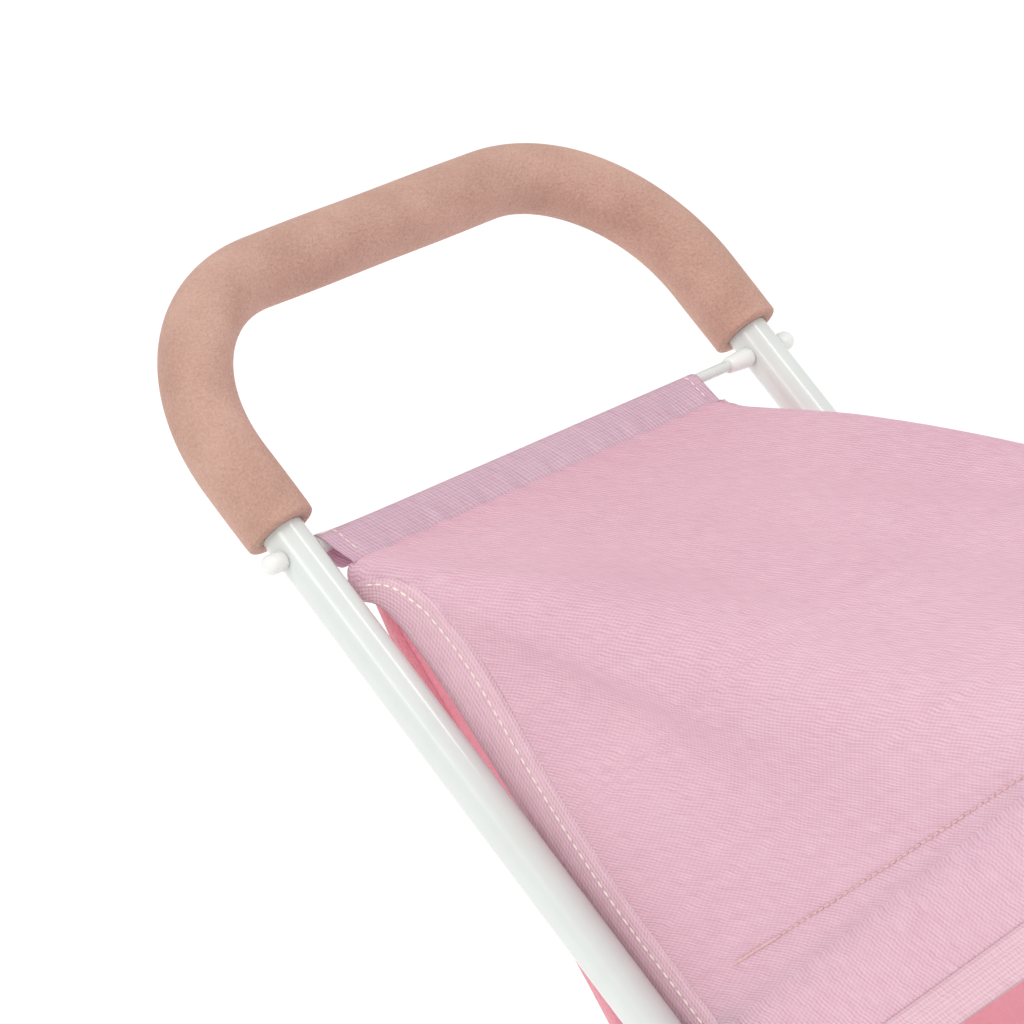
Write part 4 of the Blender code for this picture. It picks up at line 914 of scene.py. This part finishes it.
def seat_sling():
    """The sling's middle line runs round the rod, down the back, through the bight and up the base to
    the seat bar, which it wraps. Across, it dips in the middle by 9 mm * (1 - (2c)^2) of its hang."""
    back_head = rod_on_tube - over_tube * 5.2 * MM
    bar = np.array([0, seat_bar[1], seat_bar[2]])
    wrap_radius = tube_radius + 2.2 * MM
    base_end = bar + np.array([0, 0, wrap_radius])
    wrap_front = bar + np.array([0, -wrap_radius, 0])
    wrap_below = bar + np.array([0, 0, -wrap_radius])
    front_above = wrap_front + (base_end - bar) * 0.9
    front_below = wrap_below + (wrap_front - bar)
    corners = [back_head, bight, base_end, front_above, front_below, wrap_below]
    path = bent_path(corners, [34 * MM, 3 * MM, 8 * MM, 6 * MM], 1.5 * MM)
    reach = np.concatenate([[0], np.cumsum(np.linalg.norm(np.diff(path, axis=0), axis=1))])
    stations = np.linspace(0, reach[-1], 170)
    line = np.stack([np.interp(stations, reach, path[:, axis]) for axis in range(3)], axis=1)
    share = stations / reach[-1]
    half = np.interp(share, [0, 0.08, 0.5, 0.62, 0.85, 1], [90, 97, 101, 100, 70, 68]) * MM
    c = np.linspace(-1, 1, 60)
    points = line[:, None] + np.zeros((len(line), len(c), 3))
    points[..., 0] = half[:, None] * c
    tangent = np.gradient(line, axis=0)
    tangent /= np.linalg.norm(tangent, axis=1, keepdims=True)
    below = np.stack([np.zeros(len(line)), -tangent[:, 2], tangent[:, 1]], axis=1)
    below *= np.where(below[:, 2:] > 0, -1, 1)
    hang = np.sin(math.pi * np.clip(share / 0.9, 0, 1)) ** 0.8
    dip = 5 * MM * (1 - c**2)[None] * hang[:, None]
    ripple = 0.7 * MM * np.sin(share * 31 + 0.4)[:, None] * np.exp(-(1 - np.abs(c))[None] / 0.12)
    return points + below[:, None] * (dip + ripple)[..., None]


seat_points = seat_sling()
seat = surface("seat_sling", seat_points)
lay_uv(seat, seat_points)
seat.data.materials.append(seat_cloth)
seat_wall = seat.modifiers.new("padding", "SOLIDIFY")
seat_wall.thickness = 2.4 * MM
seat_wall.offset = 0
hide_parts("seat_back", "seat_base")
seat_pieces = []
for name, column in (("left", 0), ("right", -1)):
    edge = seat_points[2:-22, column]
    welt_rings = tube_rings(edge, np.array([1.0, 0, 0]), 2.1 * MM, 14)
    welt = surface(f"seat_welt_{name}", welt_rings, around=True)
    lay_uv(welt, welt_rings)
    welt.data.materials.append(seat_cloth)
    seat_pieces.append(welt)
for made in [seat, *seat_pieces]:
    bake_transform(made)

# --- Floor, light and camera ------------------------------------------------------------------------
# A plain white floor that glows faintly, under soft studio light: a broad key from the upper left, a
# narrow strip high on the right and an even white surround.

bpy.ops.mesh.primitive_plane_add(size=30)
floor = bpy.context.object
floor.name = "floor"
floor_values = {"Roughness": 0.9, "Base Color": linear("#fdfdfd"), "Emission Color": linear("#ffffff")}
floor_paint, shader = start_finish("white_floor", floor_values)
shader.inputs["Emission Strength"].default_value = 0.16
floor.data.materials.append(floor_paint)

world = bpy.data.worlds.new("studio")
bpy.context.scene.world = world
world.use_nodes = True
world.node_tree.nodes["Background"].inputs["Color"].default_value = (1, 1, 1, 1)
world.node_tree.nodes["Background"].inputs["Strength"].default_value = 0.8
bpy.context.scene.view_settings.view_transform = "Standard"


def softbox(name, place, aim, width, length, power):
    """A flat area light aimed at a point."""
    light = bpy.data.lights.new(name, "AREA")
    light.shape = "RECTANGLE"
    light.size = width
    light.size_y = length
    light.energy = power
    box = bpy.data.objects.new(name, light)
    bpy.context.scene.collection.objects.link(box)
    box.location = place
    box.rotation_euler = (Vector(aim) - Vector(place)).to_track_quat("-Z", "Y").to_euler()


canopy_middle = (0, 0, 0.48)
softbox("key", (-1.9, 0.2, 2.0), canopy_middle, 1.0, 1.0, 16)
softbox("overhead_strip", (0.55, -0.95, 2.4), canopy_middle, 0.22, 1.8, 12)

camera_data = bpy.data.cameras.new("camera")
camera = bpy.data.objects.new("camera", camera_data)
bpy.context.scene.collection.objects.link(camera)
camera_data.lens = 202.9
camera_data.sensor_width = 36
# The view looks down 21.7 degrees on the handle from 49 degrees left of the front.
handle_aim = Vector((0, 0.1542, 0.4552))
view_from = Vector((-1.3829, -1.0587, 1.1888))
aimed = (handle_aim - view_from).to_track_quat("-Z", "Y").to_matrix()
roll = math.radians(-1.14)
camera.matrix_world = Matrix.Translation(view_from) @ (aimed @ Matrix.Rotation(roll, 3, "Z")).to_4x4()
camera_data.clip_end = 50
bpy.context.scene.camera = camera
